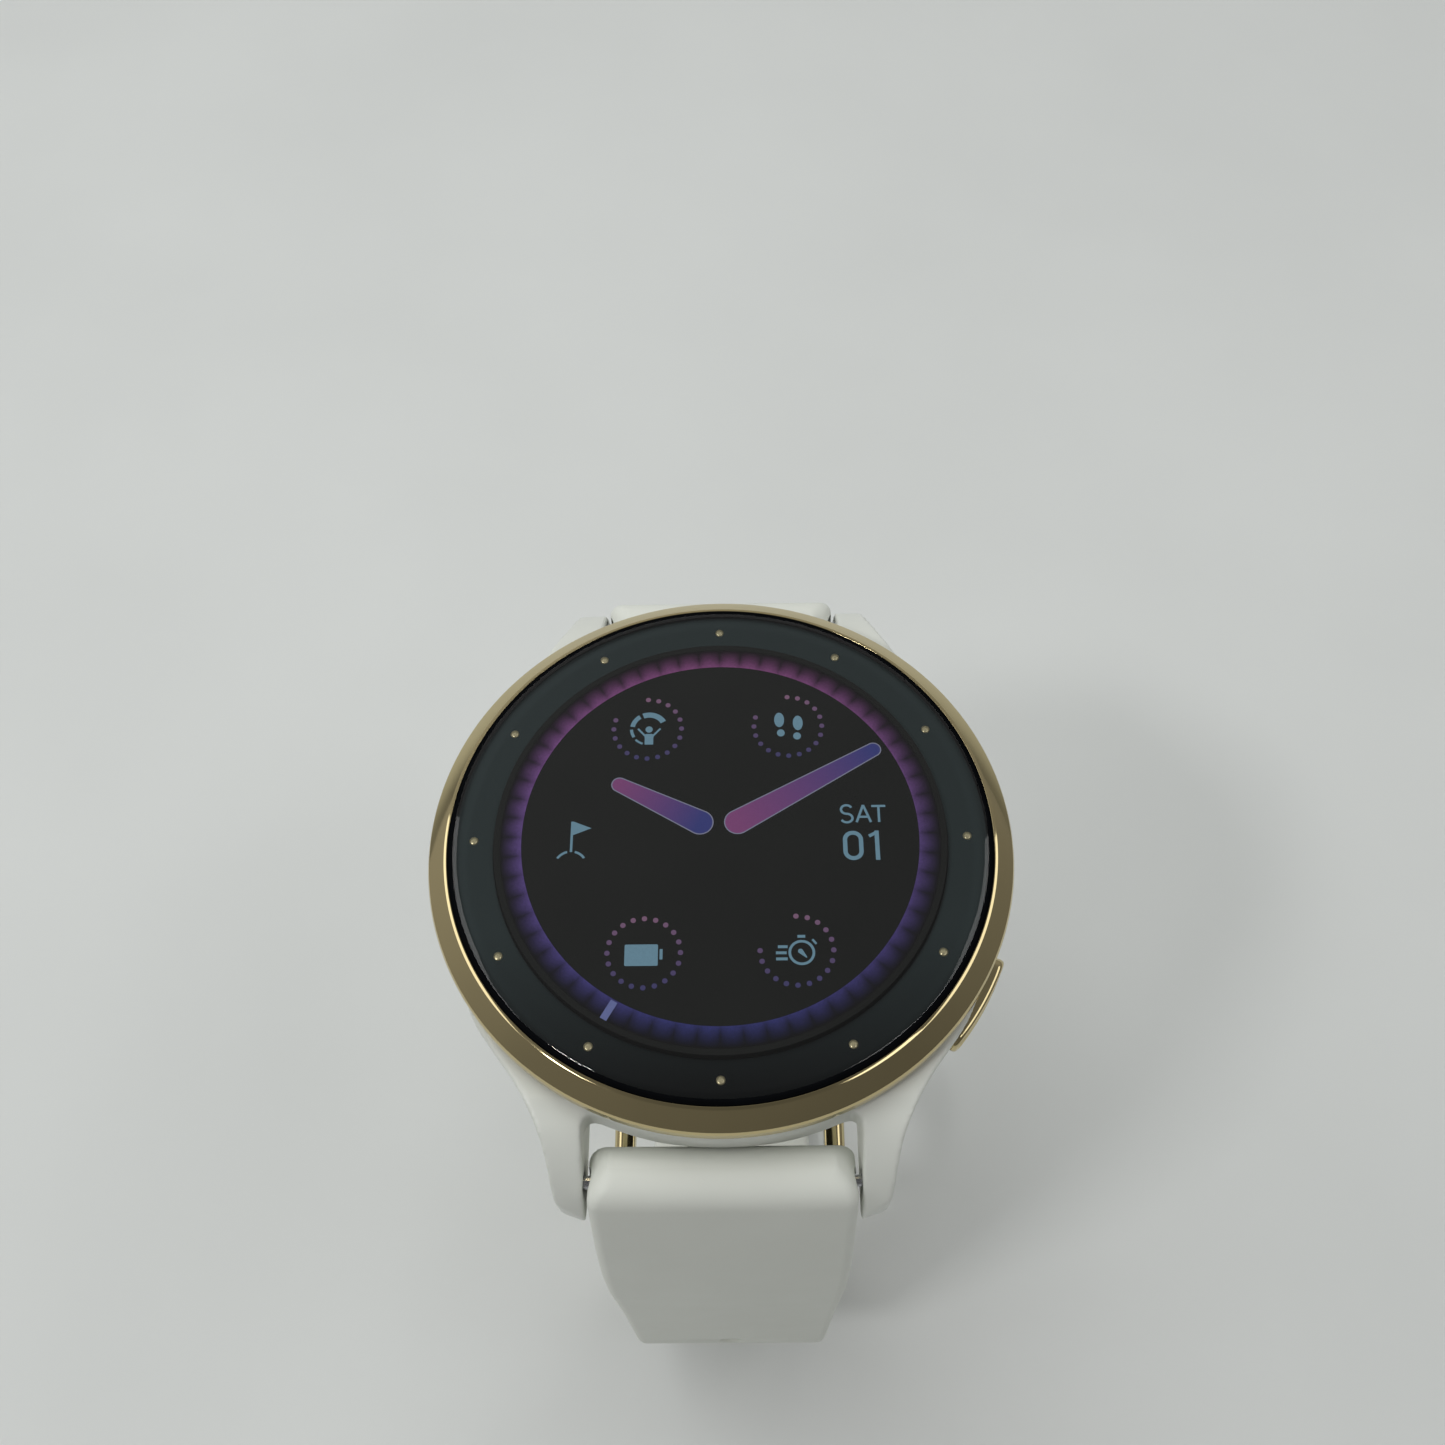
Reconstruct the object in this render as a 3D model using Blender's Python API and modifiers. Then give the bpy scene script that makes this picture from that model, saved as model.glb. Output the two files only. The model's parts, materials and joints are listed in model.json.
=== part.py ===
"""A round golf GPS watch with its strap open, as separate pieces.

Lengths in this file are millimetres and become metres when a mesh is made.
The origin is the middle of the flat sensor window on the back of the case.
+Z runs out of the dial, +Y points to 12 o'clock and +X to 3 o'clock.
"""
import math

import bmesh
import bpy
from mathutils import Matrix, Vector

MM = 0.001
MERGE = 0.00001
RING_STEPS = 64
HIDDEN_STEPS = 36

# Heights up the dial axis
GLASS_TOP = 12.0
GLASS_UNDER = 11.35
CASE_TOP = 9.1
BACK_PLANE = 2.0
# Radii about the dial axis
GLASS_R = 18.85
BEZEL_R = 20.5
CASE_R = 20.4
CAVITY_R = 17.0
BACK_R = 17.6
WINDOW_R = 10.2
# Strap bars and lugs
BAR_Y = 22.0
BAR_Z = 4.9
LUG_INNER_X = 9.15
STRAP_HALF_W = 8.9
BARREL_R = 2.0
BORE_R = 1.0
# Buttons
BUTTON_ANGLES = {"upper": 32.0, "middle": 0.0, "lower": -32.0}
BUTTON_OUT_R = {"upper": 21.1, "middle": 20.75, "lower": 21.1}
BUTTON_Z = 7.4
BUTTON_LENGTH = 7.4
BUTTON_HEIGHT = 2.0
STEM_R = 0.8
# Back screws
SCREW_R = 15.2
SCREW_ANGLES = (60.0, 120.0, 240.0, 300.0)
# Charging port, below the sensor
PORT_Y = -14.55
PIN_PITCH = 1.9
# Strap halves: each line is stretches of (length, pieces, heading at the end) from its bar
STRAP_THICK = 2.3
TIP_HALF_W = 8.0
STRAP_DROP = math.radians(72.0)
DOWN = -math.pi / 2
INWARD = -math.pi
LONG_LINE = ((17.0, 6, DOWN), (24.0, 4, DOWN), (25.0, 9, INWARD), (35.0, 9, INWARD))
SHORT_LINE = ((17.0, 6, DOWN), (35.0, 12, INWARD), (8.0, 3, INWARD))
TAPER_LENGTH = 60.0
THINNING_LENGTH = 30.0
TIP_LENGTH = 7.0
# Holes along the long half
HOLE_COUNT = 11
HOLE_FIRST = 41.0
HOLE_PITCH = 5.0
HOLE_R = 0.95
# Buckle: its bar lies at the end of the short half, inside a turned-over loop
LOOP_R = 1.75
BUCKLE_BAR_R = 0.75
FRAME_REACH = 9.5
FRAME_BEHIND = 1.5
FRAME_HALF_W = 10.6
FRAME_HALF_T = 1.2
FRAME_BAR = 1.9
TONGUE_SLOT_HALF = 1.4
TONGUE_HALF_W = 0.8
# Keeper: a free loop on the short half, with room for the tail on its outer side
KEEPER_AT = 46.0
KEEPER_LENGTH = 5.0
KEEPER_WALL = 1.1
KEEPER_GAP = 0.35
TAIL_ROOM = 3.0


# ---------------------------------------------------------------- helpers

def collection(name):
    made = bpy.data.collections.new(name)
    bpy.context.scene.collection.children.link(made)
    return made


def clear_scene():
    for obj in list(bpy.data.objects):
        bpy.data.objects.remove(obj)


def material(name, color, roughness, metallic=0.0):
    made = bpy.data.materials.new(name)
    made.use_nodes = True
    shader = made.node_tree.nodes["Principled BSDF"]
    shader.inputs["Base Color"].default_value = (*color, 1.0)
    shader.inputs["Roughness"].default_value = roughness
    shader.inputs["Metallic"].default_value = metallic
    return made


def add_object(name, mesh):
    obj = bpy.data.objects.new(name, mesh)
    PARTS.objects.link(obj)
    return obj


def smooth(mesh, degrees=35.0):
    mesh.shade_smooth()
    mesh.set_sharp_from_angle(angle=math.radians(degrees))


def bake(obj):
    """Make the evaluated shape of an object its own mesh."""
    graph = bpy.context.evaluated_depsgraph_get()
    mesh = bpy.data.meshes.new_from_object(obj.evaluated_get(graph))
    bm = bmesh.new()
    bm.from_mesh(mesh)
    bmesh.ops.remove_doubles(bm, verts=bm.verts, dist=MERGE)
    bmesh.ops.recalc_face_normals(bm, faces=bm.faces)
    bm.to_mesh(mesh)
    bm.free()
    name = obj.name
    made = bpy.data.objects.new(name + "_mesh", mesh)
    made.matrix_world = obj.matrix_world
    PARTS.objects.link(made)
    bpy.data.objects.remove(obj)
    made.name = name
    return made


def turned(name, profile, closed=True, steps=RING_STEPS, centre=(0.0, 0.0, 0.0)):
    """Turn (radius, height) points about +Z. They run down the outer side."""
    mesh = bpy.data.meshes.new(name)
    verts = [(r * MM, 0.0, z * MM) for r, z in profile]
    edges = [(i, i + 1) for i in range(len(verts) - 1)]
    if closed:
        edges.append((len(verts) - 1, 0))
    mesh.from_pydata(verts, edges, [])
    obj = add_object(name, mesh)
    screw = obj.modifiers.new("Turn", "SCREW")
    screw.steps = steps
    screw.render_steps = steps
    screw.use_merge_vertices = True
    screw.merge_threshold = MERGE
    obj.location = Vector(centre) * MM
    bpy.context.view_layer.update()
    return bake(obj)


def ring(name, inner, outer, low, high, steps=RING_STEPS, centre=(0.0, 0.0, 0.0)):
    profile = [(outer, high), (outer, low), (inner, low), (inner, high)]
    return turned(name, profile, steps=steps, centre=centre)


def cylinder(name, radius, start, end, vertices=24):
    """A cylinder between two points in millimetres."""
    start, end = Vector(start), Vector(end)
    bm = bmesh.new()
    length = (end - start).length
    bmesh.ops.create_cone(bm, cap_ends=True, segments=vertices, radius1=radius * MM,
                          radius2=radius * MM, depth=length * MM)
    turn = Vector((0, 0, 1)).rotation_difference(end - start).to_matrix().to_4x4()
    bmesh.ops.transform(bm, matrix=Matrix.Translation((start + end) / 2 * MM) @ turn, verts=bm.verts)
    mesh = bpy.data.meshes.new(name)
    bm.to_mesh(mesh)
    bm.free()
    return add_object(name, mesh)


def box(name, low, high, bevel=0.0, segments=2, vertical_only=False):
    """A box between two corners in millimetres, with its edges rounded."""
    low, high = Vector(low), Vector(high)
    bm = bmesh.new()
    bmesh.ops.create_cube(bm, size=1.0)
    size = (high - low) * MM
    middle = (high + low) / 2 * MM
    matrix = Matrix.Translation(middle) @ Matrix.Diagonal((*size, 1.0))
    bmesh.ops.transform(bm, matrix=matrix, verts=bm.verts)
    if bevel:
        edges = bm.edges[:]
        if vertical_only:
            edges = [e for e in edges if abs((e.verts[0].co - e.verts[1].co).z) > MERGE]
        bmesh.ops.bevel(bm, geom=edges, offset=bevel * MM, segments=segments,
                        affect="EDGES", profile=0.5)
    mesh = bpy.data.meshes.new(name)
    bm.to_mesh(mesh)
    bm.free()
    return add_object(name, mesh)


def prism(name, outline, low, high, matrix=Matrix()):
    """Extrude a flat outline from height low to height high, then place it."""
    curve = bpy.data.curves.new(name, "CURVE")
    curve.dimensions = "2D"
    curve.fill_mode = "BOTH"
    curve.extrude = (high - low) / 2 * MM
    spline = curve.splines.new("POLY")
    spline.points.add(len(outline) - 1)
    for point, (x, y) in zip(spline.points, outline):
        point.co = (x * MM, y * MM, 0.0, 1.0)
    spline.use_cyclic_u = True
    obj = add_object(name, curve)
    obj.matrix_world = matrix @ Matrix.Translation((0, 0, (low + high) / 2 * MM))
    bpy.context.view_layer.update()
    obj = bake(obj)
    obj.data.transform(obj.matrix_world)
    obj.matrix_world = Matrix()
    return obj


def arc(radius, start, end, count, centre=(0.0, 0.0)):
    """Points along an arc, angles in degrees."""
    angles = [math.radians(start + (end - start) * i / count) for i in range(count + 1)]
    return [(centre[0] + radius * math.cos(a), centre[1] + radius * math.sin(a)) for a in angles]


def side_view():
    """A matrix that stands an outline up in the (y, z) plane, its thickness along +X."""
    return Matrix(((0, 0, 1, 0), (1, 0, 0, 0), (0, 1, 0, 0), (0, 0, 0, 1)))


def as_cutter(obj):
    PARTS.objects.unlink(obj)
    CUTTERS.objects.link(obj)
    obj.hide_render = True
    obj.display_type = "WIRE"
    return obj


def boolean(obj, other, operation):
    modifier = obj.modifiers.new(other.name, "BOOLEAN")
    modifier.operation = operation
    modifier.solver = "EXACT"
    modifier.object = as_cutter(other)


def cut(obj, other):
    boolean(obj, other, "DIFFERENCE")


def join(obj, other):
    boolean(obj, other, "UNION")


def keep_inside(obj, other):
    boolean(obj, other, "INTERSECT")


def finish(obj, mat, sharp=35.0):
    """Bake the shape, name its material and shade it."""
    obj = bake(obj)
    obj.data.materials.clear()
    obj.data.materials.append(mat)
    smooth(obj.data, sharp)
    return obj


def pivot(obj, point, parent=None):
    """Move an object's origin to a point, in millimetres, and give it a parent."""
    world = Vector(point) * MM
    obj.data.transform(Matrix.Translation(-world) @ obj.matrix_world)
    obj.matrix_world = Matrix.Translation(world)
    if parent:
        bpy.context.view_layer.update()
        obj.parent = parent
        obj.matrix_parent_inverse = parent.matrix_world.inverted()
    return obj


def empty(name, point):
    made = bpy.data.objects.new(name, None)
    PARTS.objects.link(made)
    made.location = Vector(point) * MM
    bpy.context.view_layer.update()
    return made


def outward(angle):
    """A matrix that turns +X of a radial piece to an angle about the dial axis."""
    return Matrix.Rotation(math.radians(angle), 4, "Z")


# ---------------------------------------------------------------- case

def lug(name, side, end):
    """One strap lug: its outline from above, kept inside its outline from the side."""
    plan = [(LUG_INNER_X, 15.0), (LUG_INNER_X, 24.05), (9.6, 24.0), (10.9, 23.5), (11.25, 23.0),
            (11.5, 21.6), (11.95, 19.8), (12.75, 17.9), (13.75, 16.2), (14.9, 14.6),
            (16.3, 12.6), (14.0, 12.0)]
    plan = [(side * x, end * y) for x, y in plan]
    block = prism(name, plan, 1.0, 11.5)
    top = CASE_TOP - 0.05
    profile = [(11.0, top), (17.6, top), (19.6, 8.35), (21.4, 7.1), (22.9, 5.5),
               (23.8, 3.9), (24.1, 2.9), (23.8, 2.45), (22.6, 2.3), (18.5, 2.6), (11.0, 3.2)]
    profile = [(end * y, z) for y, z in profile]
    side_block = prism(name + "_side", profile, -18.0, 18.0, side_view())
    keep_inside(block, side_block)
    return bake(block)


def make_case():
    outside = [(0.0, CASE_TOP), (20.3, CASE_TOP), (CASE_R, 8.3), (20.3, 6.9), (19.95, 5.4),
               (19.3, 4.1), (18.5, 3.1), (18.3, 2.6), (0.0, 2.6)]
    case = turned("case_body", outside, closed=False)
    for side, side_name in ((-1, "left"), (1, "right")):
        for end, end_name in ((-1, "lower"), (1, "upper")):
            join(case, lug(f"lug_{end_name}_{side_name}", side, end))
    cavity = [(0.0, 12.0), (CAVITY_R, 12.0), (CAVITY_R, 4.2), (BACK_R + 0.3, 4.2),
              (BACK_R + 0.3, 1.0), (0.0, 1.0)]
    cut(case, turned("cavity", cavity, closed=False))
    for end, end_name in ((-1, "lower"), (1, "upper")):
        y = end * BAR_Y
        clearance = cylinder(f"barrel_clearance_{end_name}", BARREL_R + 0.4,
                             (-LUG_INNER_X, y, BAR_Z), (LUG_INNER_X, y, BAR_Z), 32)
        cut(case, clearance)
        holes = cylinder(f"bar_holes_{end_name}", 0.6, (-10.1, y, BAR_Z), (10.1, y, BAR_Z), 16)
        cut(case, holes)
    for name, angle in BUTTON_ANGLES.items():
        cut(case, button_block(f"button_pocket_{name}", 19.2, 22.0, 0.2, angle))
        turn = outward(angle).to_3x3()
        start = turn @ Vector((16.0, 0, BUTTON_Z))
        end = turn @ Vector((20.0, 0, BUTTON_Z))
        cut(case, cylinder(f"stem_hole_{name}", 1.35, start, end, 20))
    return finish(case, MATERIALS["case"])


def make_bezel():
    profile = [(19.0, 11.72), (19.18, 11.68), (20.25, 10.85), (20.45, 10.6), (BEZEL_R, 10.3),
               (BEZEL_R, 9.6), (20.35, 9.25), (17.4, 9.25), (17.4, 9.95), (19.0, 9.95)]
    return finish(turned("bezel", profile), MATERIALS["bezel"], 20.0)


def make_glass():
    profile = [(0.0, GLASS_TOP), (18.2, GLASS_TOP), (18.6, 11.9), (GLASS_R, 11.65),
               (GLASS_R, GLASS_UNDER), (0.0, GLASS_UNDER)]
    return finish(turned("cover_glass", profile, closed=False), MATERIALS["glass"])


def make_dial():
    finish(ring("dial_ring", 15.35, 18.6, 10.85, 11.05, steps=HIDDEN_STEPS), MATERIALS["black"])
    finish(ring("glass_gasket", 17.6, 18.7, 10.25, 10.55, steps=HIDDEN_STEPS), MATERIALS["black"])
    display = turned("display_panel", [(0.0, 10.55), (16.9, 10.55), (16.9, 10.05), (0.0, 10.05)],
                     closed=False, steps=HIDDEN_STEPS)
    finish(display, MATERIALS["screen"])
    fold = [(9.0, 9.8), (13.4, 9.8), (13.6, 9.7), (13.6, 9.3), (13.4, 9.2), (10.6, 9.2),
            (10.6, 9.05), (13.5, 9.05), (13.75, 9.25), (13.75, 9.75), (13.5, 9.95), (9.0, 9.95)]
    flex = prism("display_flex", fold, -3.5, 3.5, side_view())
    finish(flex, MATERIALS["flex"])


def make_back():
    profile = [(BACK_R, 3.3), (BACK_R, 2.3), (17.3, BACK_PLANE), (12.9, BACK_PLANE),
               (12.2, 1.6), (11.6, 0.75), (11.3, 0.5), (10.5, 0.5), (10.5, 1.3), (9.3, 1.3),
               (9.3, 3.3)]
    cover = turned("back_cover", profile)
    port = box("port_hole", (-4.4, PORT_Y - 1.8, 1.0), (4.4, PORT_Y + 1.8, 5.0), 0.9, 3, True)
    cut(cover, port)
    for i, angle in enumerate(SCREW_ANGLES):
        x, y = arc(SCREW_R, angle, angle, 1)[0]
        cut(cover, cylinder(f"counterbore_{i + 1}", 1.15, (x, y, 1.0), (x, y, 2.75), 16))
        cut(cover, cylinder(f"screw_hole_{i + 1}", 0.55, (x, y, 1.0), (x, y, 4.0), 12))
    finish(cover, MATERIALS["back"])
    torus_seal("back_seal", 17.4, 0.28, 3.75, HIDDEN_STEPS, 5)
    window = [(0.0, 1.0), (WINDOW_R, 1.0), (WINDOW_R, 0.3), (9.9, 0.0), (0.0, 0.0)]
    finish(turned("sensor_window", window, closed=False, steps=48), MATERIALS["tinted"])


def torus_seal(name, major, minor, height, steps, sides):
    """A round seal: a small circle turned about the dial axis."""
    circle = [(major + minor * math.cos(2 * math.pi * i / sides),
               height - minor * math.sin(2 * math.pi * i / sides)) for i in range(sides)]
    return finish(turned(name, circle, steps=steps), MATERIALS["rubber"])


def make_back_screws():
    profile = [(0.0, 5.6), (0.4, 5.6), (0.4, 2.65), (0.95, 2.65), (0.95, 2.2), (0.8, 2.1),
               (0.45, 2.1), (0.38, 2.4), (0.0, 2.4)]
    for i, angle in enumerate(SCREW_ANGLES):
        x, y = arc(SCREW_R, angle, angle, 1)[0]
        screw = turned(f"back_screw_{i + 1}", profile, closed=False, steps=10, centre=(x, y, 0.0))
        finish(screw, MATERIALS["steel"])


def make_charge_port():
    cup = box("charge_port", (-4.2, PORT_Y - 1.6, 2.1), (4.2, PORT_Y + 1.6, 4.2), 0.75, 3, True)
    recess = box("port_recess", (-3.8, PORT_Y - 1.2, 1.5), (3.8, PORT_Y + 1.2, 3.3), 0.5, 3, True)
    cut(cup, recess)
    for i in range(4):
        x = PIN_PITCH * (i - 1.5)
        cut(cup, cylinder(f"pin_hole_{i + 1}", 0.5, (x, PORT_Y, 2.5), (x, PORT_Y, 5.0), 10))
    finish(cup, MATERIALS["black"])
    profile = [(0.0, 4.35), (0.38, 4.35), (0.38, 2.75), (0.3, 2.6), (0.0, 2.6)]
    for i in range(4):
        x = PIN_PITCH * (i - 1.5)
        pin = turned(f"charge_pin_{i + 1}", profile, closed=False, steps=10, centre=(x, PORT_Y, 0.0))
        finish(pin, MATERIALS["gold"])


# ---------------------------------------------------------------- inside

def make_frame_and_boards():
    cup = [(0.0, 5.05), (13.7, 5.05), (13.7, 8.0), (16.4, 8.0), (16.4, 4.55), (0.0, 4.55)]
    frame = turned("inner_frame", cup, closed=False, steps=HIDDEN_STEPS)
    sector = arc(17.5, -50, 50, 12) + arc(14.7, 50, -50, 12)
    cut(frame, prism("switch_pocket", sector, 4.0, 9.0))
    for i, angle in enumerate(SCREW_ANGLES):
        x, y = arc(SCREW_R, angle, angle, 1)[0]
        cut(frame, cylinder(f"boss_hole_{i + 1}", 0.5, (x, y, 4.0), (x, y, 6.2), 12))
    finish(frame, MATERIALS["black"])
    board = turned("main_board", [(0.0, 8.9), (15.5, 8.9), (15.5, 8.3), (0.0, 8.3)],
                   closed=False, steps=HIDDEN_STEPS)
    finish(board, MATERIALS["board"])
    band = arc(15.2, 205, 335, 20) + arc(14.2, 335, 205, 20)
    finish(prism("gps_antenna", band, 9.15, 9.5), MATERIALS["ceramic"])
    finish(box("processor_shield", (-7.5, -5.0, 9.1), (2.5, 4.0, 9.75), 0.3), MATERIALS["steel"])
    finish(box("gps_module", (4.2, -4.5, 9.1), (10.2, 1.5, 9.6), 0.15), MATERIALS["black"])
    cell = box("battery", (-10.0, -9.0, 5.3), (5.0, 9.0, 7.9), 0.8, 2)
    finish(cell, MATERIALS["foil"])
    motor = turned("vibration_motor", [(0.0, 7.9), (3.3, 7.9), (3.5, 7.7), (3.5, 5.35), (0.0, 5.35)],
                   closed=False, steps=24, centre=(9.6, 0.0, 0.0))
    finish(motor, MATERIALS["steel"])


def make_sensor():
    board = turned("sensor_board", [(0.0, 3.1), (9.0, 3.1), (9.0, 2.6), (0.0, 2.6)],
                   closed=False, steps=32)
    finish(board, MATERIALS["board"])
    for side, name in ((-1, "left"), (1, "right")):
        x = side * 2.2
        led = box(f"sensor_led_{name}", (x - 1.2, -1.2, 1.55), (x + 1.2, 1.2, 2.35), 0.15, 1)
        finish(led, MATERIALS["led"])
    for i, angle in enumerate((45, 135, 225, 315)):
        x, y = arc(6.2, angle, angle, 1)[0]
        cell = box(f"photodiode_{i + 1}", (x - 1.3, y - 1.3, 1.65), (x + 1.3, y + 1.3, 2.35), 0.15, 1)
        finish(cell, MATERIALS["black"])


# ---------------------------------------------------------------- buttons

def pill(length, height, count=8):
    """A lying pill outline, length along the first axis."""
    r = height / 2
    half = length / 2 - r
    return arc(r, -90, 90, count, (half, 0.0)) + arc(r, 90, 270, count, (-half, 0.0))


def button_block(name, inner, outer, gap, angle):
    """A pill that follows the rim: its outline pushed outward, kept inside a ring."""
    outline = pill(BUTTON_LENGTH + 2 * gap, BUTTON_HEIGHT + 2 * gap)
    lift = Matrix.Translation((0, 0, BUTTON_Z * MM))
    block = prism(name, outline, 15.0, 24.0, outward(angle) @ lift @ side_view())
    keep_inside(block, ring(name + "_ring", inner, outer, 4.0, 11.0, steps=96))
    return bake(block)


def make_button(name, angle, outer):
    label = f"button_{name}"
    turn = outward(angle).to_3x3()
    cap = button_block(label, 19.65, outer, 0.0, angle)
    stem = cylinder(label + "_stem", STEM_R, turn @ Vector((16.3, 0, BUTTON_Z)),
                    turn @ Vector((20.2, 0, BUTTON_Z)), 16)
    join(cap, stem)
    groove = turned(label + "_groove", [(1.6, 0.2), (1.6, -0.2), (0.6, -0.2), (0.6, 0.2)], steps=16)
    lay = Matrix.Rotation(math.radians(90), 4, "Y")
    place = outward(angle) @ Matrix.Translation(Vector((16.75, 0, BUTTON_Z)) * MM) @ lay
    groove.matrix_world = place
    bpy.context.view_layer.update()
    cut(cap, groove)
    outer_point = turn @ Vector((outer, 0, BUTTON_Z))
    cap = finish(cap, MATERIALS["bezel"])
    mover = empty(f"button_{name}_axis", outer_point)
    pivot(cap, outer_point, mover)
    clip = ring(f"button_clip_{name}", 0.68, 1.65, -0.12, 0.12, steps=16)
    clip.matrix_world = place
    bpy.context.view_layer.update()
    pivot(finish(clip, MATERIALS["steel"]), outer_point, mover)
    seal = [(1.08 + 0.2 * math.cos(math.pi * i / 3), -0.2 * math.sin(math.pi * i / 3)) for i in range(6)]
    seal = turned(f"button_seal_{name}", seal, steps=16)
    seal.matrix_world = outward(angle) @ Matrix.Translation(Vector((18.2, 0, BUTTON_Z)) * MM) @ lay
    bpy.context.view_layer.update()
    finish(seal, MATERIALS["rubber"])
    body = box(f"switch_{name}", (15.08, -1.7, 6.6), (15.6, 1.7, 8.1), 0.1, 1)
    join(body, cylinder(f"switch_{name}_plunger", 0.5, (15.4, 0, BUTTON_Z), (15.85, 0, BUTTON_Z), 12))
    body = bake(body)
    body.data.transform(outward(angle))
    finish(body, MATERIALS["steel"])


def make_side_flex():
    band = arc(14.97, -42, 42, 20) + arc(14.82, 42, -42, 20)
    finish(prism("side_flex", band, 6.0, 8.05), MATERIALS["flex"])


# ---------------------------------------------------------------- strap

def along(heading, start, run, count, end_heading):
    """Points of a stretch that turns evenly from one heading to another."""
    points = []
    y, z = start
    step = run / count
    for i in range(count):
        angle = heading + (end_heading - heading) * (i + 0.5) / count
        y += step * math.cos(angle)
        z += step * math.sin(angle)
        points.append((y, z))
    return points


def strap_line(stretches):
    """Points of the strap's middle line, as (outward, up), starting at the bar."""
    points = [(BAR_Y, BAR_Z)]
    heading = -STRAP_DROP
    for run, count, end_heading in stretches:
        points += along(heading, points[-1], run, count, end_heading)
        heading = end_heading
    return points


def half_width_at(length):
    return STRAP_HALF_W + (TIP_HALF_W - STRAP_HALF_W) * min(length / TAPER_LENGTH, 1.0)


def strap_sections(points, tip_round):
    """Centre, across-direction, half width and half thickness of each section."""
    rows = []
    length = 0.0
    barrel = [(-0.96, 0.28), (-0.8, 0.6), (-0.45, 0.89)]
    first = Vector(points[0])
    heading = (Vector(points[1]) - first).normalized()
    for back, half in barrel:
        rows.append((first + heading * back * BARREL_R, heading,
                     STRAP_HALF_W - 1.2 * (-back) ** 3, half * BARREL_R))
    for i, point in enumerate(points):
        here = Vector(point)
        before = Vector(points[max(i - 1, 0)])
        after = Vector(points[min(i + 1, len(points) - 1)])
        length += (here - before).length
        heading = (after - before).normalized()
        thin = min(length / THINNING_LENGTH, 1.0) ** 0.8
        half_t = BARREL_R + (STRAP_THICK / 2 - BARREL_R) * thin
        rows.append((here, heading, half_width_at(length), half_t))
    return round_tip(rows) if tip_round else rows


def round_tip(rows):
    """Draw the last sections of the tail in to a rounded point."""
    end, heading, width, thin = rows[-1]
    kept = [row for row in rows if (end - row[0]).length > TIP_LENGTH + 0.5]
    for out in (TIP_LENGTH, 4.5, 2.4, 1.0, 0.3, 0.0):
        across = math.sqrt(1.0 - (1.0 - out / TIP_LENGTH) ** 2.6)
        kept.append((end - heading * out, heading, max(width * across, 1.6), thin))
    return kept


def loft_strap(name, rows, end):
    """Skin eight-sided sections, with the long edges rounded, into one closed solid."""
    bm = bmesh.new()
    loops = []
    for centre, heading, half_w, half_t in rows:
        normal = Vector((-heading.y, heading.x))
        soft = min(0.45 * half_t, 0.7)
        ring_points = []
        for x, t in ((-half_w, -half_t + soft), (-half_w, half_t - soft), (-half_w + soft, half_t),
                     (half_w - soft, half_t), (half_w, half_t - soft), (half_w, -half_t + soft),
                     (half_w - soft, -half_t), (-half_w + soft, -half_t)):
            at = centre + normal * t
            ring_points.append(bm.verts.new(Vector((x, end * at.x, at.y)) * MM))
        loops.append(ring_points)
    for one, two in zip(loops, loops[1:]):
        for i in range(8):
            j = (i + 1) % 8
            bm.faces.new((one[i], one[j], two[j], two[i]))
    bm.faces.new(loops[0])
    bm.faces.new(loops[-1])
    bmesh.ops.recalc_face_normals(bm, faces=bm.faces)
    mesh = bpy.data.meshes.new(name)
    bm.to_mesh(mesh)
    bm.free()
    return add_object(name, mesh)


def point_at(points, distance):
    """Place and heading at a distance along the strap's middle line."""
    walked = 0.0
    for a, b in zip(points, points[1:]):
        a, b = Vector(a), Vector(b)
        step = (b - a).length
        if walked + step >= distance:
            return a + (b - a) * ((distance - walked) / step), (b - a).normalized()
        walked += step
    return Vector(points[-1]), (Vector(points[-1]) - Vector(points[-2])).normalized()


def cut_bar_bore(strap, end_name, end):
    y = end * BAR_Y
    bore = cylinder(f"bar_bore_{end_name}", BORE_R, (-9.5, y, BAR_Z), (9.5, y, BAR_Z), 20)
    cut(strap, bore)
    inward = Vector((0, -end * math.sin(STRAP_DROP), -math.cos(STRAP_DROP)))
    start = Vector((0, y, BAR_Z))
    notch = box(f"lever_notch_{end_name}", (4.6, -0.75, 0.0), (9.5, 0.75, 3.0))
    turn = Vector((0, 0, 1)).rotation_difference(inward).to_matrix().to_4x4()
    notch.matrix_world = Matrix.Translation(start * MM) @ turn
    bpy.context.view_layer.update()
    cut(strap, notch)


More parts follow.
